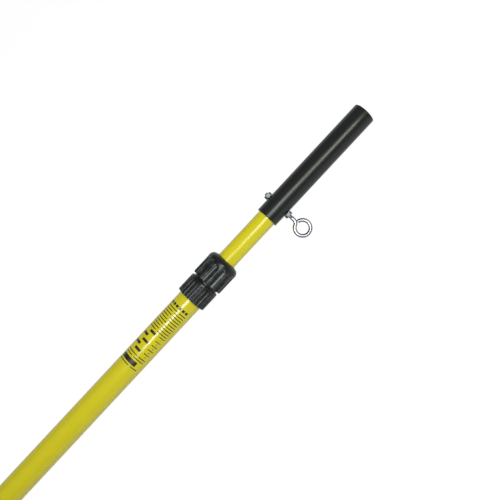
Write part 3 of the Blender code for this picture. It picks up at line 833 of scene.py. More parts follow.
def refined(finish: Finish, body: Body, *nodes: str) -> None:
    """Make finer copies of hidden CAD nodes, with their edges broken."""
    for node in nodes:
        shape = bmesh.new()
        shape.from_mesh(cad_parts[node].data)
        bmesh.ops.remove_doubles(shape, verts=shape.verts, dist=EPSILON)
        bmesh.ops.dissolve_limit(
            shape, angle_limit=math.radians(FLAT_DEGREES), verts=shape.verts, edges=shape.edges
        )
        edge = finished(node, shape, finish, body).modifiers.new("Broken edges", "BEVEL")
        edge.width = BROKEN_EDGE
        edge.segments = 2
        edge.limit_method = "ANGLE"
        edge.angle_limit = math.radians(SHARP_DEGREES)


# Patterns round the collars


@dataclass(frozen=True)
class GroovePattern:
    """Equal round-bottomed grooves round a collar, each with an arched top."""

    count: int
    radius: float
    depth: float
    collar_radius: float
    top: float
    blend: float
    edge_spread: float = 1.6
    fine_row: float = 0.0004
    long_row: float = 0.002

    @cached_property
    def offset(self) -> float:
        """Distance of a groove's axis from the pole's."""
        return self.collar_radius - self.depth + self.radius

    @cached_property
    def arch_start(self) -> float:
        """Station at which the grooves start to close to their arch."""
        return self.top - math.sqrt(self.radius**2 - (self.offset - self.collar_radius) ** 2)

    def row_at(self, station: float) -> float:
        """Height of a row: short about the arches, and long where the grooves run straight."""
        near = abs(station - self.arch_start - self.radius / 2) < self.radius
        return self.fine_row if near else self.long_row

    def floor(self, station: float, angle: float) -> float:
        """Radius of the groove's surface at a place, or far out where there is none."""
        pitch = 2 * math.pi / self.count
        away = (angle / pitch) % 1.0 - 0.5
        reach = self.radius**2
        if station > self.arch_start:
            reach -= (station - self.arch_start) ** 2
        side = reach - (self.offset * math.sin(away * pitch)) ** 2
        if side <= 0:
            return self.collar_radius + self.radius
        return self.offset * math.cos(away * pitch) - math.sqrt(side)

    def radius_at(self, station: float, angle: float, radius: float) -> float:
        """The collar's radius after the grooves are pressed in."""
        return smooth_least(radius, self.floor(station, angle), self.blend)

    def note(self, shape: Shape) -> None:
        """Keep two numbers at each vertex of the collar before the grooves are pressed in.

        The first, edge, is 1 on a groove's edge and fades to 0 on both sides of it; the collar's
        paint lightens it as a painted highlight, partly rubbing wear. The second, hollow, is 1 in a
        groove's floor and 0 at the collar's own surface.
        """
        edge = shape.verts.layers.float.new("edge")
        hollow = shape.verts.layers.float.new("hollow")
        for vert in shape.verts:
            below = self.collar_radius - self.floor(vert.co.x, math.atan2(vert.co.y, vert.co.z))
            gap = below / (self.edge_spread * self.blend)
            outside = math.hypot(vert.co.y, vert.co.z) > self.collar_radius - self.depth
            vert[edge] = math.exp(-(gap**2)) if outside else 0.0
            vert[hollow] = min(1.0, max(0.0, below / self.depth))


@dataclass(frozen=True)
class Thread:
    """A right-hand thread of rounded ridges round the X axis."""

    pitch: float
    depth: float
    start: float
    end: float

    def cut(self, station: float, angle: float) -> float:
        """How deep the thread lies below its crests at a place."""
        if not self.start < station < self.end:
            return 0.0
        phase = (station / self.pitch + angle / (2 * math.pi)) % 1.0
        ridge = min(1.0, max(0.0, 2.0 * abs(2.0 * phase - 1.0) - 0.5))
        fade = min(1.0, (station - self.start) / self.pitch, (self.end - station) / self.pitch)
        return self.depth * ridge * fade


# Sub-assemblies


@dataclass
class BaseSection:
    """The wide tube, the butt's cap and plug, and the liner of its mouth."""

    wall: float = 0.0032
    rim: float = 0.0005
    cap_edge: float = 0.003
    cap_rim: float = 0.0008
    cap_mouth: float = 0.0004
    cap_clearance: float = 0.0003
    ridge_height: float = 0.0008
    ridge_width: float = 0.0024
    ridge_slope: float = 0.0006
    ridge_pitch: float = 0.0065
    ridge_count: int = 3
    ridge_rounding: float = 0.0004
    ridge_foot: float = 0.0002
    pin_clearance: float = 0.0003
    screw_radius: float = 0.0016

    def build(self) -> None:
        """Make the tube, the cap and the hidden pieces of the butt and the mouth."""
        self.tube()
        self.cap()
        refined(PALETTE.nylon, Body.BASE, "butt_plug", "mouth_bush", "collet")
        refined(PALETTE.zinc, Body.BASE, "butt_pin")

    def tube(self) -> None:
        """The wide fibreglass tube, drilled for its pin and screws."""
        start, end = span("base_tube")
        radius = outer_radius("base_tube")
        shape = tube(start, end, radius - self.wall, radius, self.rim)
        shape = drilled_for_pin(shape, "butt_pin", self.pin_clearance, 4 * radius)
        hole = self.screw_radius + self.pin_clearance
        for screw in SCREWS:
            outward = across_direction(screw)
            shape = drilled(shape, on_axis(screw) + outward * radius, outward, hole, radius)
        finished("base_tube", shape, PALETTE.base_yellow_with_painted_shade, Body.BASE)

    def cap(self) -> None:
        """The rubber cap with three ridges below its rim."""
        start, end = span("butt_cap")
        floor = span("base_tube")[0] - self.cap_clearance
        bore = outer_radius("base_tube") + self.cap_clearance
        radius = outer_radius("butt_cap") - self.ridge_height
        crest = radius + self.ridge_height
        corners = [
            Corner(floor, 0),
            Corner(floor, bore, self.cap_mouth),
            Corner(end, bore, self.cap_mouth),
            Corner(end, radius, self.cap_rim),
        ]
        for index in range(self.ridge_count):
            low = end - self.ridge_pitch * (index + 1)
            high = low + self.ridge_width
            corners += [
                Corner(high, radius, self.ridge_foot),
                Corner(high - self.ridge_slope, crest, self.ridge_rounding),
                Corner(low + self.ridge_slope, crest, self.ridge_rounding),
                Corner(low, radius, self.ridge_foot),
            ]
        corners += [Corner(start, radius, self.cap_edge), Corner(start, 0)]
        shape = spun(rounded(corners), closed=False)
        finished("butt_cap", shape, PALETTE.rubber, Body.BASE)


@dataclass
class LockBody:
    """The ribbed collar fixed to the base tube, with the threaded neck and its screws."""

    collar_length: float = 0.0335
    neck_wall: float = 0.0017
    grip: float = 0.0288
    top_rounding: float = 0.0012
    foot_rounding: float = 0.0009
    top_chamfer: float = 0.0014
    chamfer_rounding: float = 0.0006
    edge_rounding: float = 0.0004
    cone_rounding: float = 0.0003
    clearance: float = 0.0003
    running_clearance: float = 0.0006
    cone_length: float = 0.010
    cone_drop: float = 0.0024
    rib_count: int = 24
    steps_per_rib: int = 16
    thread_row: float = 0.0006
    groove_radius: float = 0.0019
    groove_depth: float = 0.0012
    groove_top_margin: float = 0.0045
    blend: float = 0.0003
    thread_pitch: float = 0.004
    thread_depth: float = 0.0009

    def build(self) -> None:
        """Make the moulding and its two screws."""
        self.moulding()
        for screw in SCREWS:
            CountersunkScrew(screw).build()

    def moulding(self) -> None:
        """The collar and neck, with the ribs and the thread pressed in."""
        start, end = span("lock_body")
        collar_end = start + self.collar_length
        collar = outer_radius("lock_body")
        tube_radius = outer_radius("base_tube") + self.clearance
        guide = outer_radius("inner_tube") + self.running_clearance
        cone = outer_radius("thrust_ring") - self.neck_wall
        neck = outer_radius("thrust_ring")
        corners = [
            Corner(end, cone, self.cone_rounding),
            Corner(end, neck, self.edge_rounding),
            Corner(collar_end, neck, self.edge_rounding),
            Corner(collar_end, collar - self.top_chamfer, self.chamfer_rounding),
            Corner(collar_end - self.top_chamfer, collar, self.top_rounding),
            Corner(start, collar, self.foot_rounding),
            Corner(start, tube_radius, self.edge_rounding),
            Corner(start + self.grip, tube_radius),
            Corner(start + self.grip, guide),
            Corner(end - self.cone_length, guide),
            Corner(end - self.cone_length, cone - self.cone_drop),
        ]
        grooves = GroovePattern(
            self.rib_count, self.groove_radius, self.groove_depth, collar,
            collar_end - self.groove_top_margin, self.blend,
        )
        row = self.thread_row
        thread = Thread(self.thread_pitch, self.thread_depth, collar_end + row, end - row)

        def radius_at(station: float, angle: float, radius: float) -> float:
            """Ribs below the collar's top, and the thread above it."""
            if station > collar_end - EPSILON:
                return radius - thread.cut(station, angle) if radius > neck - EPSILON else radius
            return grooves.radius_at(station, angle, radius)

        def row_at(station: float) -> float:
            """Rows for the ribs, or for the thread past the collar."""
            return grooves.row_at(station) if station < collar_end else row

        points = spaced(rounded(corners), row_at, neck - EPSILON)
        shape = spun(points, self.rib_count * self.steps_per_rib)
        grooves.note(shape)
        reshape(shape, tube_radius + EPSILON, radius_at)
        for screw in SCREWS:
            shape = CountersunkScrew(screw).seat(shape)
        finished("lock_body", shape, PALETTE.collar_black, Body.BASE)


@dataclass
class CountersunkScrew:
    """A small countersunk screw with a cross recess."""

    node: str
    head_radius: float = 0.0028
    shank_radius: float = 0.0016
    head_height: float = 0.0024
    clearance: float = 0.0003
    recess_length: float = 0.0030
    recess_width: float = 0.0007
    recess_depth: float = 0.0011
    tip_rounding: float = 0.0003
    head_chamfer: float = 0.0003
    head_rounding: float = 0.0001

    @cached_property
    def outward(self) -> Vector:
        """Direction that the head faces."""
        return across_direction(self.node)

    @cached_property
    def head_top(self) -> float:
        """Distance of the head's face from the pole's axis."""
        centre = sum((Vector(vert.co) for vert in self.vertices()), Vector()) / len(self.vertices())
        place = Vector((centre.x, 0, 0))
        return max((Vector(vert.co) - place).dot(self.outward) for vert in self.vertices())

    @cached_property
    def tip(self) -> float:
        """Distance of the screw's tip from the pole's axis."""
        return min(Vector(vert.co).dot(self.outward) for vert in self.vertices())

    def vertices(self) -> list[bpy.types.MeshVertex]:
        """Vertices of the CAD screw."""
        return list(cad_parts[self.node].data.vertices)

    def seat(self, shape: Shape) -> Shape:
        """Cut the screw's seat out of the moulding."""
        gap = self.clearance
        corners = [
            Corner(self.tip - gap, 0),
            Corner(self.tip - gap, self.shank_radius + gap),
            Corner(self.head_top - self.head_height - gap, self.shank_radius + gap),
            Corner(self.head_top - gap, self.head_radius + gap),
            Corner(self.head_top + 2 * self.head_height, self.head_radius + gap),
            Corner(self.head_top + 2 * self.head_height, 0),
        ]
        tool = spun([corner.point for corner in corners], SMALL_STEPS, closed=False)
        return subtracted(shape, aimed(tool, on_axis(self.node), self.outward))

    def build(self) -> None:
        """Make the screw."""
        corners = [
            Corner(self.tip, 0),
            Corner(self.tip, self.shank_radius, self.tip_rounding),
            Corner(self.head_top - self.head_height, self.shank_radius),
            Corner(self.head_top - self.head_chamfer, self.head_radius, self.head_rounding),
            Corner(self.head_top, self.head_radius - self.head_chamfer, self.head_rounding),
            Corner(self.head_top, 0),
        ]
        shape = spun(rounded(corners), SMALL_STEPS, closed=False)
        for turn in (0.0, math.pi / 2):
            arm = bmesh.new()
            bmesh.ops.create_cube(arm, size=1.0)
            size = (2 * self.recess_depth, self.recess_length, self.recess_width)
            bmesh.ops.scale(arm, vec=size, verts=arm.verts)
            spin = Matrix.Rotation(turn, 3, "X")
            bmesh.ops.rotate(arm, cent=(0, 0, 0), matrix=spin, verts=arm.verts)
            bmesh.ops.translate(arm, vec=(self.head_top, 0, 0), verts=arm.verts)
            shape = subtracted(shape, arm)
        aimed(shape, on_axis(self.node), self.outward)
        finished(self.node, shape, PALETTE.zinc, Body.BASE)


@dataclass
class LockNut:
    """The fluted nut with its domed shoulder, the wiper in its mouth and the thrust ring."""

    flute_count: int = 14
    steps_per_flute: int = 26
    flute_radius: float = 0.00966
    flute_depth: float = 0.0017
    flute_top_margin: float = 0.0112
    blend: float = 0.0005
    dome_height: float = 0.0095
    dome_steps: int = 18
    foot_rounding: float = 0.0014
    bore_rounding: float = 0.0004
    clearance: float = 0.0003
    wiper_height: float = 0.004
    wiper_wall: float = 0.0021
    wiper_foot: float = 0.0003
    wiper_shoulder: float = 0.0004
    wiper_lip: float = 0.0002
    shoulder: float = 0.0391

    def build(self) -> None:
        """Make the nut, its wiper and the thrust ring."""
        self.moulding()
        self.wiper()
        refined(PALETTE.nylon, Body.FOLLOWER, "thrust_ring")

    def moulding(self) -> None:
        """The nut, with its flutes pressed in."""
        start, end = span("lock_nut")
        radius = outer_radius("lock_nut")
        bore = outer_radius("thrust_ring") + self.clearance
        seat = outer_radius("wiper_ring") + self.clearance
        dome_start = seat + self.clearance
        dome_foot = end - self.dome_height
        points = [Vector((end, seat))]
        for step in range(self.dome_steps + 1):
            turn = math.pi / 2 * (1 - step / self.dome_steps)
            station = dome_foot + self.dome_height * math.sin(turn)
            points.append(Vector((station, dome_start + (radius - dome_start) * math.cos(turn))))
        shelf = end - self.wiper_height - self.clearance
        lip = outer_radius("inner_tube") + 3 * self.clearance
        foot = [
            Corner(dome_foot, radius),
            Corner(start, radius, self.foot_rounding),
            Corner(start, bore, self.bore_rounding),
            Corner(start + self.shoulder, bore),
            Corner(start + self.shoulder, lip),
            Corner(shelf, lip),
            Corner(shelf, seat),
        ]
        flutes = GroovePattern(
            self.flute_count, self.flute_radius, self.flute_depth, radius,
            end - self.flute_top_margin, self.blend,
        )
        points = spaced(points + rounded(foot)[1:], flutes.row_at, bore + EPSILON)
        shape = spun(points, self.flute_count * self.steps_per_flute)
        flutes.note(shape)
        reshape(shape, bore + EPSILON, flutes.radius_at)
        finished("lock_nut", shape, PALETTE.collar_black, Body.NUT)

    def wiper(self) -> None:
        """The rubber ring in the nut's mouth, with its lip against the tube."""
        start, end = span("wiper_ring")
        outer = outer_radius("wiper_ring")
        bore = outer - self.wiper_wall
        corners = [
            Corner(start, bore, self.wiper_foot),
            Corner(start, outer, self.wiper_foot),
            Corner(start + self.wiper_height, outer, self.wiper_shoulder),
            Corner(end, bore + self.wiper_wall / 2, self.wiper_shoulder),
            Corner(end, bore, self.wiper_lip),
        ]
        finished("wiper_ring", spun(rounded(corners)), PALETTE.rubber, Body.NUT)


@dataclass
class InnerSection:
    """The thin tube, its plugs and glide ring, and the socket sleeve on its tip."""

    wall: float = 0.0028
    rim: float = 0.0005
    clearance: float = 0.0003
    sleeve_rim: float = 0.0015
    sleeve_mouth: float = 0.0003
    sleeve_foot: float = 0.0007
    sleeve_arc_steps: int = 6
    sleeve_row: float = 0.02
    bolt_hole_length: float = 0.1

    def build(self) -> None:
        """Make the tube, the sleeve and the hidden pieces."""
        self.tube()
        self.sleeve()
        refined(PALETTE.nylon, Body.INNER, "end_plug", "tip_plug")
        refined(PALETTE.nylon, Body.CARRIAGE, "glide_ring")
        refined(PALETTE.zinc, Body.INNER, "end_plug_pin")

    def bolt_hole(self, shape: Shape) -> Shape:
        """Drill a tube or sleeve for the eye bolt."""
        hole = WIRE_RADIUS + self.clearance
        return drilled(shape, on_axis("far_nut"), AXES.to_eye, hole, self.bolt_hole_length)

    def tube(self) -> None:
        """The thin fibreglass tube, drilled for the eye bolt and the end plug's pin."""
        start, end = span("inner_tube")
        radius = outer_radius("inner_tube")
        shape = self.bolt_hole(tube(start, end, radius - self.wall, radius, self.rim))
        shape = drilled_for_pin(shape, "end_plug_pin", self.clearance, 4 * radius)
        finished("inner_tube", shape, PALETTE.inner_yellow, Body.INNER)

    def sleeve(self) -> None:
        """The black socket sleeve, with a rounded rim at its mouth."""
        start, end = span("tip_sleeve")
        radius = outer_radius("tip_sleeve")
        bore = outer_radius("inner_tube") + self.clearance
        corners = [
            Corner(start, bore, self.sleeve_mouth),
            Corner(start, radius, self.sleeve_foot),
            Corner(end, radius, self.sleeve_rim),
            Corner(end, bore, self.sleeve_mouth),
        ]
        points = rounded(corners, self.sleeve_arc_steps)
        shape = spun(spaced(points, lambda station: self.sleeve_row))
        finished("tip_sleeve", self.bolt_hole(shape), PALETTE.sleeve_black, Body.INNER)


@dataclass
class EyeBolt:
    """The bent wire eye, its two nuts and the spacer round its shank."""

    wire_steps: int = 40
    eye_diameter: float = 0.0317
    bend_radius: float = 0.008
    opening_degrees: float = 12.0
    centre_offset: float = 0.053
    tail_beyond_nut: float = 0.0024
    end_chamfer: float = 0.0004
    thread_pitch: float = 0.00127
    thread_depth: float = 0.00055
    thread_past_nut: float = 0.0045
    thread_row: float = 0.00016
    bend_step_degrees: float = 4.0
    nut_flats: float = 0.0111
    nut_thickness: float = 0.0056
    nut_steps: int = 96
    nut_row: float = 0.0003
    nut_clearance: float = 0.0003
    nut_thread_clearance: float = 0.00002
    nut_bore_rounding: float = 0.0003
    nut_rounding: float = 0.0001
    nut_chamfer_share: float = 0.6

    def build(self) -> None:
        """Make the bolt, the nuts and the spacer."""
        self.wire()
        self.nut("eye_nut", self.nut_foot)
        self.nut("far_nut", -self.nut_foot - self.nut_thickness)
        refined(PALETTE.zinc, Body.INNER, "bolt_spacer")

    @cached_property
    def station(self) -> float:
        """Station of the bolt's shank."""
        return middle_of("far_nut")

    @cached_property
    def nut_foot(self) -> float:
        """Distance of a nut's inner face from the pole's axis."""
        return outer_radius("tip_sleeve") + self.nut_clearance

    @cached_property
    def tail(self) -> float:
        """Distance of the bolt's tail from the pole's axis, on the side away from the eye."""
        return -(self.nut_foot + self.nut_thickness + self.tail_beyond_nut)

    @cached_property
    def threads(self) -> tuple[Thread, Thread]:
        """The thread on the tail, and the one that takes the eye's nut."""
        inner = self.nut_foot - self.thread_pitch
        outer = self.nut_foot + self.nut_thickness + self.thread_past_nut
        size = (self.thread_pitch, self.thread_depth)
        return Thread(*size, self.tail, -inner), Thread(*size, inner, outer)

    def route(self) -> Iterator[tuple[float, float, float]]:
        """Places along the wire's middle.

        Yields:
            Offset towards the tip, distance out along the shank, and the wire's direction as an
            angle from the shank's towards the butt.
        """
        radius = self.eye_diameter / 2 - WIRE_RADIUS
        bend = self.bend_radius
        bend_start = self.centre_offset - math.sqrt(radius**2 + 2 * radius * bend)
        for thread in self.threads:
            first = max(thread.start, self.tail + self.end_chamfer)
            rows = math.ceil((thread.end - first) / self.thread_row)
            for row in range(rows + 1):
                yield 0.0, first + (thread.end - first) * row / rows, 0.0
        meets = math.atan2(bend, self.centre_offset - bend_start)
        turn = math.pi / 2 - meets
        step_angle = math.radians(self.bend_step_degrees)
        steps = math.ceil(turn / step_angle)
        for step in range(steps):
            angle = turn * step / steps
            yield bend * (math.cos(angle) - 1), bend_start + bend * math.sin(angle), angle
        sweep = 2 * math.pi - meets - math.radians(self.opening_degrees)
        steps = math.ceil(sweep / step_angle)
        for step in range(steps + 1):
            angle = meets + sweep * step / steps
            across = -radius * math.sin(angle)
            out = self.centre_offset - radius * math.cos(angle)
            yield across, out, math.pi / 2 - angle

    def stop(self, across: float, out: float, turn: float, radius: float) -> Matrix:
        """Placement of the wire's circle at a place on its route."""
        forward = AXES.to_eye * math.cos(turn) - AXES.along * math.sin(turn)
        side = AXES.to_camera
        third = forward.cross(side)
        place = AXES.place(self.station + across, out, 0.0)
        return placement(side * radius, third * radius, forward * radius, place)

    def wire(self) -> None:
        """The wire, bent to its eye, with its thread and chamfered ends."""
        wire = WIRE_RADIUS
        route = list(self.route())
        stops = [self.stop(0.0, self.tail, 0.0, wire - self.end_chamfer)]
        stops += [self.stop(*place, wire) for place in route]
        across, out, turn = route[-1]
        across -= self.end_chamfer * math.sin(turn)
        out += self.end_chamfer * math.cos(turn)
        stops.append(self.stop(across, out, turn, wire - self.end_chamfer))
        shape = swept(stops, self.wire_steps)
        origin = AXES.place(self.station, 0.0, 0.0)
        for vert in shape.verts:
            offset = vert.co - origin
            out = offset.dot(AXES.to_eye)
            if out > self.threads[-1].end:
                continue
            spoke = offset - AXES.to_eye * out
            angle = math.atan2(spoke.dot(AXES.to_camera), spoke.dot(AXES.along))
            if spoke.length > wire - EPSILON:
                depth = sum(thread.cut(out, angle) for thread in self.threads)
                vert.co -= spoke.normalized() * depth
        finished("eye_bolt", shape, PALETTE.zinc, Body.INNER)

    def nut(self, node: str, foot: float) -> None:
        """A hex nut with chamfered corners.

        Args:
            node: CAD node that it stands for.
            foot: distance of its nearer face from the pole's axis, along the shank.
        """
        flat = self.nut_flats / 2
        corner = flat / math.cos(math.pi / 6)
        blank = corner + self.nut_rounding
        bore = WIRE_RADIUS + self.nut_thread_clearance
        chamfer = (corner - flat) * self.nut_chamfer_share
        corners = [
            Corner(0.0, bore, self.nut_bore_rounding),
            Corner(0.0, flat, self.nut_rounding),
            Corner(chamfer, blank),
            Corner(self.nut_thickness - chamfer, blank),
            Corner(self.nut_thickness, flat, self.nut_rounding),
            Corner(self.nut_thickness, bore, self.nut_bore_rounding),
        ]
        points = spaced(rounded(corners), lambda station: self.nut_row, flat - self.nut_row)
        shape = spun(points, self.nut_steps)

        def hexagon(station: float, angle: float, radius: float) -> float:
            """The lesser of the turned blank and the hexagon."""
            sixth = math.pi / 3
            away = (angle + sixth / 2) % sixth - sixth / 2
            return min(radius, flat / math.cos(away))

        reshape(shape, flat - EPSILON, hexagon)
        aimed(shape, AXES.place(self.station, foot, 0.0), AXES.to_eye)
        finished(node, shape, PALETTE.nut_zinc, Body.INNER)


@dataclass
class ReachScale:
    """A plain printed graduation on the base tube, below the lock.

    Degrees are measured round the tube from its line nearest the camera towards the eye's side.
    """

    below_collar: float = 0.0180
    left_degrees: float = -66.0
    right_degrees: float = 44.0
    film: float = 0.00003
    float_height: float = 0.00001
    column_degrees: float = 3.0
    digit_height: float = 0.0058
    digit_rows: int = 10
    digit_degrees: float = 30.0
    digit_below_tick: float = 0.0055
    border_blocks: int = 6
    border_height: float = 0.0044
    border_share: float = 0.74
    border_room_in_heights: float = 1.8
    fine_pitch: float = 0.0048
    fine_rows: int = 10
    fine_tick: float = 0.0015
    fine_split: float = -8.0
    fine_long_split: float = 6.0
    fine_gap: float = 8.0
    fine_left_stagger: float = 6.0
    fine_right_stagger: float = 4.0
    bold_pitch: float = 0.0088
    bold_rows: int = 5
    bold_tick: float = 0.0013
    bold_tick_start: float = 12.0
    bold_stagger: float = 26.0
    bold_width: float = 34.0
    bold_foot: float = 0.001
    bar_height: float = 0.0078
    bar_inset: float = 22.0
    bar_foot: float = 0.0026
    shape: Shape = field(default_factory=bmesh.new)

    def build(self) -> None:
        """Make the graduation as one thin printed film."""
        station = span("lock_body")[0] - self.below_collar
        station = self.border(station)
        station = self.fine_scale(station, self.fine_rows)
        station = self.bold_scale(station)
        station = self.fine_scale(station, 2)
        station = self.bar(station)
        self.fine_scale(station, 1)
        self.lay()
        finished(
            "base_tube", self.shape, PALETTE.ink, Body.BASE, name="reach_scale", replaced=False
        )

    @cached_property
    def radius(self) -> float:
        """Radius of the tube that is printed on."""
        return outer_radius("base_tube")

    def lay(self) -> None:
        """Thicken the flat print to a film and lay it round the tube."""
        made = bmesh.ops.extrude_face_region(
            self.shape, geom=self.shape.faces[:], use_keep_orig=True
        )
        raised = [part for part in made["geom"] if isinstance(part, bmesh.types.BMVert)]
        bmesh.ops.translate(self.shape, vec=(0, 0, self.film), verts=raised)
        front, side = AXES.to_camera, AXES.to_eye
        for vert in self.shape.verts:
            angle = vert.co.y / self.radius
            outward = front * math.cos(angle) + side * math.sin(angle)
            reach = self.radius + self.float_height + vert.co.z
            vert.co = AXES.along * vert.co.x + outward * reach
        bmesh.ops.recalc_face_normals(self.shape, faces=self.shape.faces)

    def block(self, station: float, height: float, first: float, last: float) -> None:
        """A printed block, from one angle to another in degrees, below a station."""
        columns = max(1, math.ceil((last - first) / self.column_degrees))
        made = bmesh.ops.create_grid(self.shape, x_segments=1, y_segments=columns, size=0.5)
        middle = math.radians((first + last) / 2) * self.radius
        width = math.radians(last - first) * self.radius
        bmesh.ops.scale(self.shape, vec=(height, width, 1), verts=made["verts"])
        bmesh.ops.translate(
            self.shape, vec=(station - height / 2, middle, 0), verts=made["verts"]
        )

    def border(self, station: float) -> float:
        """A row of equal bold blocks, and the station below it."""
        pitch = (self.right_degrees - self.left_degrees) / self.border_blocks
        for index in range(self.border_blocks):
            first = self.left_degrees + pitch * index
            self.block(station, self.border_height, first, first + pitch * self.border_share)
        return station - self.border_room_in_heights * self.border_height

    def fine_scale(self, station: float, rows: int) -> float:
        """Fine ticks in two columns, with every fifth one long, and the station below them."""
        for index in range(rows):
            place = station - self.fine_pitch * index
            odd = index % 2
            split = self.fine_split if index % 5 else self.fine_long_split
            left_end = split - self.fine_gap - self.fine_left_stagger * odd
            right_start = split - self.fine_right_stagger * odd
            self.block(place, self.fine_tick, self.left_degrees, left_end)
            self.block(place, self.fine_tick, right_start, self.right_degrees)
        return station - self.fine_pitch * rows

    def bold_scale(self, station: float) -> float:
        """Bold blocks of a staff, with plain numbers beside them, and the station below them."""
        for index in range(self.bold_rows):
            place = station - self.bold_pitch * index
            height = self.bold_pitch / 2
            first = self.left_degrees if index % 2 else self.left_degrees + self.bold_stagger
            self.block(place, height, first, first + self.bold_width)
            self.block(place, self.bold_tick, self.bold_tick_start, self.right_degrees)
            self.number(str(index + 1), place - self.digit_below_tick, self.digit_degrees)
        return station - self.bold_pitch * self.bold_rows - self.bold_foot

    def bar(self, station: float) -> float:
        """The solid bar that closes the graduation, and the station below it."""
        end = self.right_degrees - self.bar_inset
        self.block(station, self.bar_height, self.left_degrees, end)
        return station - self.bar_height - self.bar_foot

    def number(self, text: str, station: float, degrees: float) -> None:
        """A plain number across the tube, centred on a station and an angle."""
        curve = bpy.data.curves.new("number", "FONT")
        curve.body = text
        curve.size = self.digit_height
        curve.align_x = "CENTER"
        curve.align_y = "CENTER"
        letters = linked("number", curve)
        depsgraph = bpy.context.evaluated_depsgraph_get()
        mesh = bpy.data.meshes.new_from_object(letters.evaluated_get(depsgraph))
        bpy.data.objects.remove(letters, do_unlink=True)
        bpy.data.curves.remove(curve)
        digits = bmesh.new()
        digits.from_mesh(mesh)
        bmesh.ops.remove_doubles(digits, verts=digits.verts, dist=WELD)
        for step in range(-self.digit_rows, self.digit_rows + 1):
            parts = digits.verts[:] + digits.edges[:] + digits.faces[:]
            plane = (step * self.digit_height / self.digit_rows, 0, 0)
            bmesh.ops.bisect_plane(digits, geom=parts, plane_co=plane, plane_no=(1, 0, 0))
        middle = math.radians(degrees) * self.radius
        turn = Matrix(((0, 1, 0, station), (1, 0, 0, middle), (0, 0, 1, 0), (0, 0, 0, 1)))
        bmesh.ops.transform(digits, matrix=turn, verts=digits.verts)
        digits.to_mesh(mesh)
        digits.free()
        self.shape.from_mesh(mesh)
        bpy.data.meshes.remove(mesh)


# Studio


@dataclass(frozen=True)
class SoftBox:
    """A rectangular lamp that faces a place on the pole.

    A panel fades to its long sides and shows in the gloss. Any other lamp doesn't show there.
    """

    name: str
    place: tuple[float, float, float]
    target: tuple[float, float, float]
    length: float
    width: float
    radiance: float
    colour: Colour = (1.0, 1.0, 1.0)
    is_panel: bool = False

    def build(self) -> None:
        """Hang the lamp, with its length along the pole."""
        lamp = bpy.data.lights.new(self.name, "AREA")
        lamp.shape = "RECTANGLE"
        lamp.size = self.length
        lamp.size_y = self.width
        lamp.energy = self.radiance * math.pi * self.length * self.width
        lamp.color = self.colour
        if self.is_panel:
            self.fade(lamp)
        holder = linked(self.name, lamp)
        holder.visible_glossy = self.is_panel
        place = AXES.place(*self.place)
        back = (place - AXES.place(*self.target)).normalized()
        across = back.cross(AXES.along).normalized()
        holder.matrix_world = placement(across.cross(back), across, back, place)

    def fade(self, lamp: bpy.types.AreaLight) -> None:
        """Let the lamp fade from its middle line to its two long sides."""
        lamp.use_nodes = True
        tree = Tree(lamp.node_tree)
        spot = tree.add("NewGeometry").outputs["Parametric"]
        share = tree.add("SeparateXYZ", {0: spot}).outputs["Y"]
        aside = tree.math("MULTIPLY", tree.math("SUBTRACT", share, 0.5), 2.0)
        level = tree.math("SUBTRACT", 1.0, tree.math("MULTIPLY", aside, aside))
        level = tree.math("MULTIPLY", level, level)
        tree.feed(tree.find("EMISSION"), "Strength", level)


@dataclass(frozen=True)
class Panel:
    """An overhead lamp whose image lies on the tubes, from one station to another."""

    name: str
    start: float
    end: float
    aside: float
    width: float
    radiance: float
    colour: Colour

    def lamp(self, middle_station: float, height: float) -> SoftBox:
        """The lamp that a camera over the middle station sees mirrored in the tubes."""
        first = 2 * self.start - middle_station
        last = 2 * self.end - middle_station
        middle = (first + last) / 2
        return SoftBox(
            self.name, (middle, self.aside, height), (middle, 0.0, 0.0), last - first,
            self.width, self.radiance, self.colour, is_panel=True,
        )


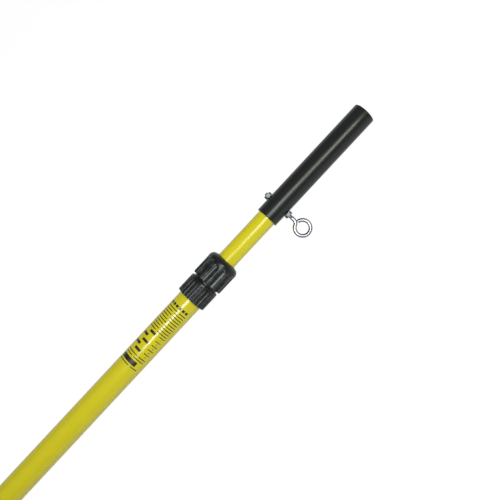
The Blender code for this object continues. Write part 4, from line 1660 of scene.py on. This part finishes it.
@dataclass
class Studio:
    """The floor, the lamps, the backdrop and the camera."""

    middle_station: float = 1.0310
    middle_to_eye: float = 0.0156
    frame_width: float = 0.797
    distance: float = 1.10
    pole_slope: tuple[float, float] = (0.6815, 0.7319)
    sensor: float = 36.0
    floor_size: float = 60.0
    floor_grey: float = 0.62
    floor_glow: float = 1.2
    floor_glow_share: float = 0.75
    ambient: float = 0.12
    overhead: float = 0.12
    horizon: tuple[float, float] = (0.03, 0.30)
    mirrored: float = 0.7
    boxes: tuple[SoftBox, ...] = (
        SoftBox("Tip box", (2.3, -1.5, 1.3), (middle_station, 0.0, 0.0), 1.4, 1.4, 0.90),
        SoftBox("Butt box", (-0.4, -1.3, 1.3), (0.5, 0.0, 0.0), 1.4, 1.4, 1.10),
        SoftBox("Fill box", (0.6, 1.5, 0.9), (0.6, 0.0, 0.0), 1.8, 1.0, 0.20),
    )
    panels: tuple[Panel, ...] = (
        Panel("Base tube panel", 0.805, 0.907, -0.13, 0.62, 16.0, (1.0, 1.0, 0.97)),
        Panel("Collar panel", 0.910, 0.992, 0.0, 0.60, 15.0, (0.84, 0.92, 1.0)),
        Panel("Inner tube foot panel", 0.997, 1.035, 0.06, 0.70, 2.0, (1.0, 1.0, 0.97)),
        Panel("Inner tube panel", 1.037, 1.087, 0.08, 0.80, 8.8, (1.0, 1.0, 0.97)),
        Panel("Sleeve foot panel", 1.0885, 1.108, 0.0, 0.70, 19.0, (0.78, 0.88, 1.0)),
        Panel("Sleeve middle panel", 1.112, 1.178, 0.0, 0.62, 10.0, (0.95, 1.0, 0.86)),
        Panel("Sleeve panel", 1.206, 1.309, 0.14, 0.56, 15.0, (1.0, 1.0, 0.80)),
    )

    def build(self) -> None:
        """Set up everything around the pole."""
        self.camera()
        self.floor()
        self.world()
        for box in self.boxes:
            box.build()
        for panel in self.panels:
            panel.lamp(self.middle_station, self.distance).build()
        bpy.context.scene.view_settings.view_transform = "Standard"

    def camera(self) -> None:
        """The camera, square to the pole and to the eye bolt."""
        along, across = self.pole_slope
        right = AXES.along * along + AXES.to_eye * across
        up = AXES.along * across - AXES.to_eye * along
        data = bpy.data.cameras.new("Camera")
        data.sensor_width = self.sensor
        data.lens = self.sensor * self.distance / self.frame_width
        holder = linked("Camera", data)
        place = AXES.place(self.middle_station, self.middle_to_eye, self.distance)
        holder.matrix_world = placement(right, up, AXES.to_camera, place)
        bpy.context.scene.camera = holder

    def floor(self) -> None:
        """A wide pale floor below the lock nut."""
        shape = bmesh.new()
        bmesh.ops.create_grid(shape, x_segments=1, y_segments=1, size=self.floor_size / 2)
        bmesh.ops.translate(shape, vec=(0, 0, cad_box[0].z), verts=shape.verts)
        floor = meshed("Floor", shape)
        floor.data.materials.append(self.floor_paint())

    def floor_paint(self) -> bpy.types.Material:
        """Pale paint that looks white to the camera and in reflections, with the pole's shadow."""
        made = bare_material("Floor paint")
        tree = Tree(made.node_tree)
        grey = self.floor_grey
        paint = tree.add("BsdfDiffuse", {"Color": (grey, grey, grey, 1.0)})
        seen = tree.seen(self.mirrored)
        glow = tree.math("MULTIPLY", seen, self.floor_glow)
        lift = tree.add("Emission", {"Color": (1.0, 1.0, 1.0, 1.0), "Strength": glow})
        share = tree.math("MULTIPLY", seen, self.floor_glow_share)
        tree.surface(tree.add("MixShader", {0: share, 1: paint.outputs[0], 2: lift.outputs[0]}))
        made.cycles.emission_sampling = "NONE"
        return made

    def world(self) -> None:
        """A backdrop that is white at the horizon and dim overhead."""
        world = bpy.data.worlds.new("Studio")
        bpy.context.scene.world = world
        world.use_nodes = True
        world.cycles.sampling_method = "NONE"
        tree = Tree(world.node_tree)
        direction = tree.add("TexCoord").outputs["Generated"]
        height = tree.add("SeparateXYZ", {0: direction}).outputs["Z"]
        seen = tree.seen(self.mirrored)
        shown = tree.ramp(height, *self.horizon, 1.0, self.overhead)
        level = tree.add("Mix", {0: seen, 2: self.ambient, 3: shown}).outputs[0]
        backdrop = tree.find("BACKGROUND")
        tree.feed(backdrop, "Strength", level)
        tree.feed(backdrop, "Color", (1.0, 1.0, 1.0, 1.0))


def main() -> None:
    """Set up the studio, then build each sub-assembly."""
    logging.basicConfig(level=logging.INFO, format="%(message)s")
    Studio().build()
    BaseSection().build()
    LockBody().build()
    LockNut().build()
    InnerSection().build()
    EyeBolt().build()
    ReachScale().build()


if __name__ == "__main__":
    main()
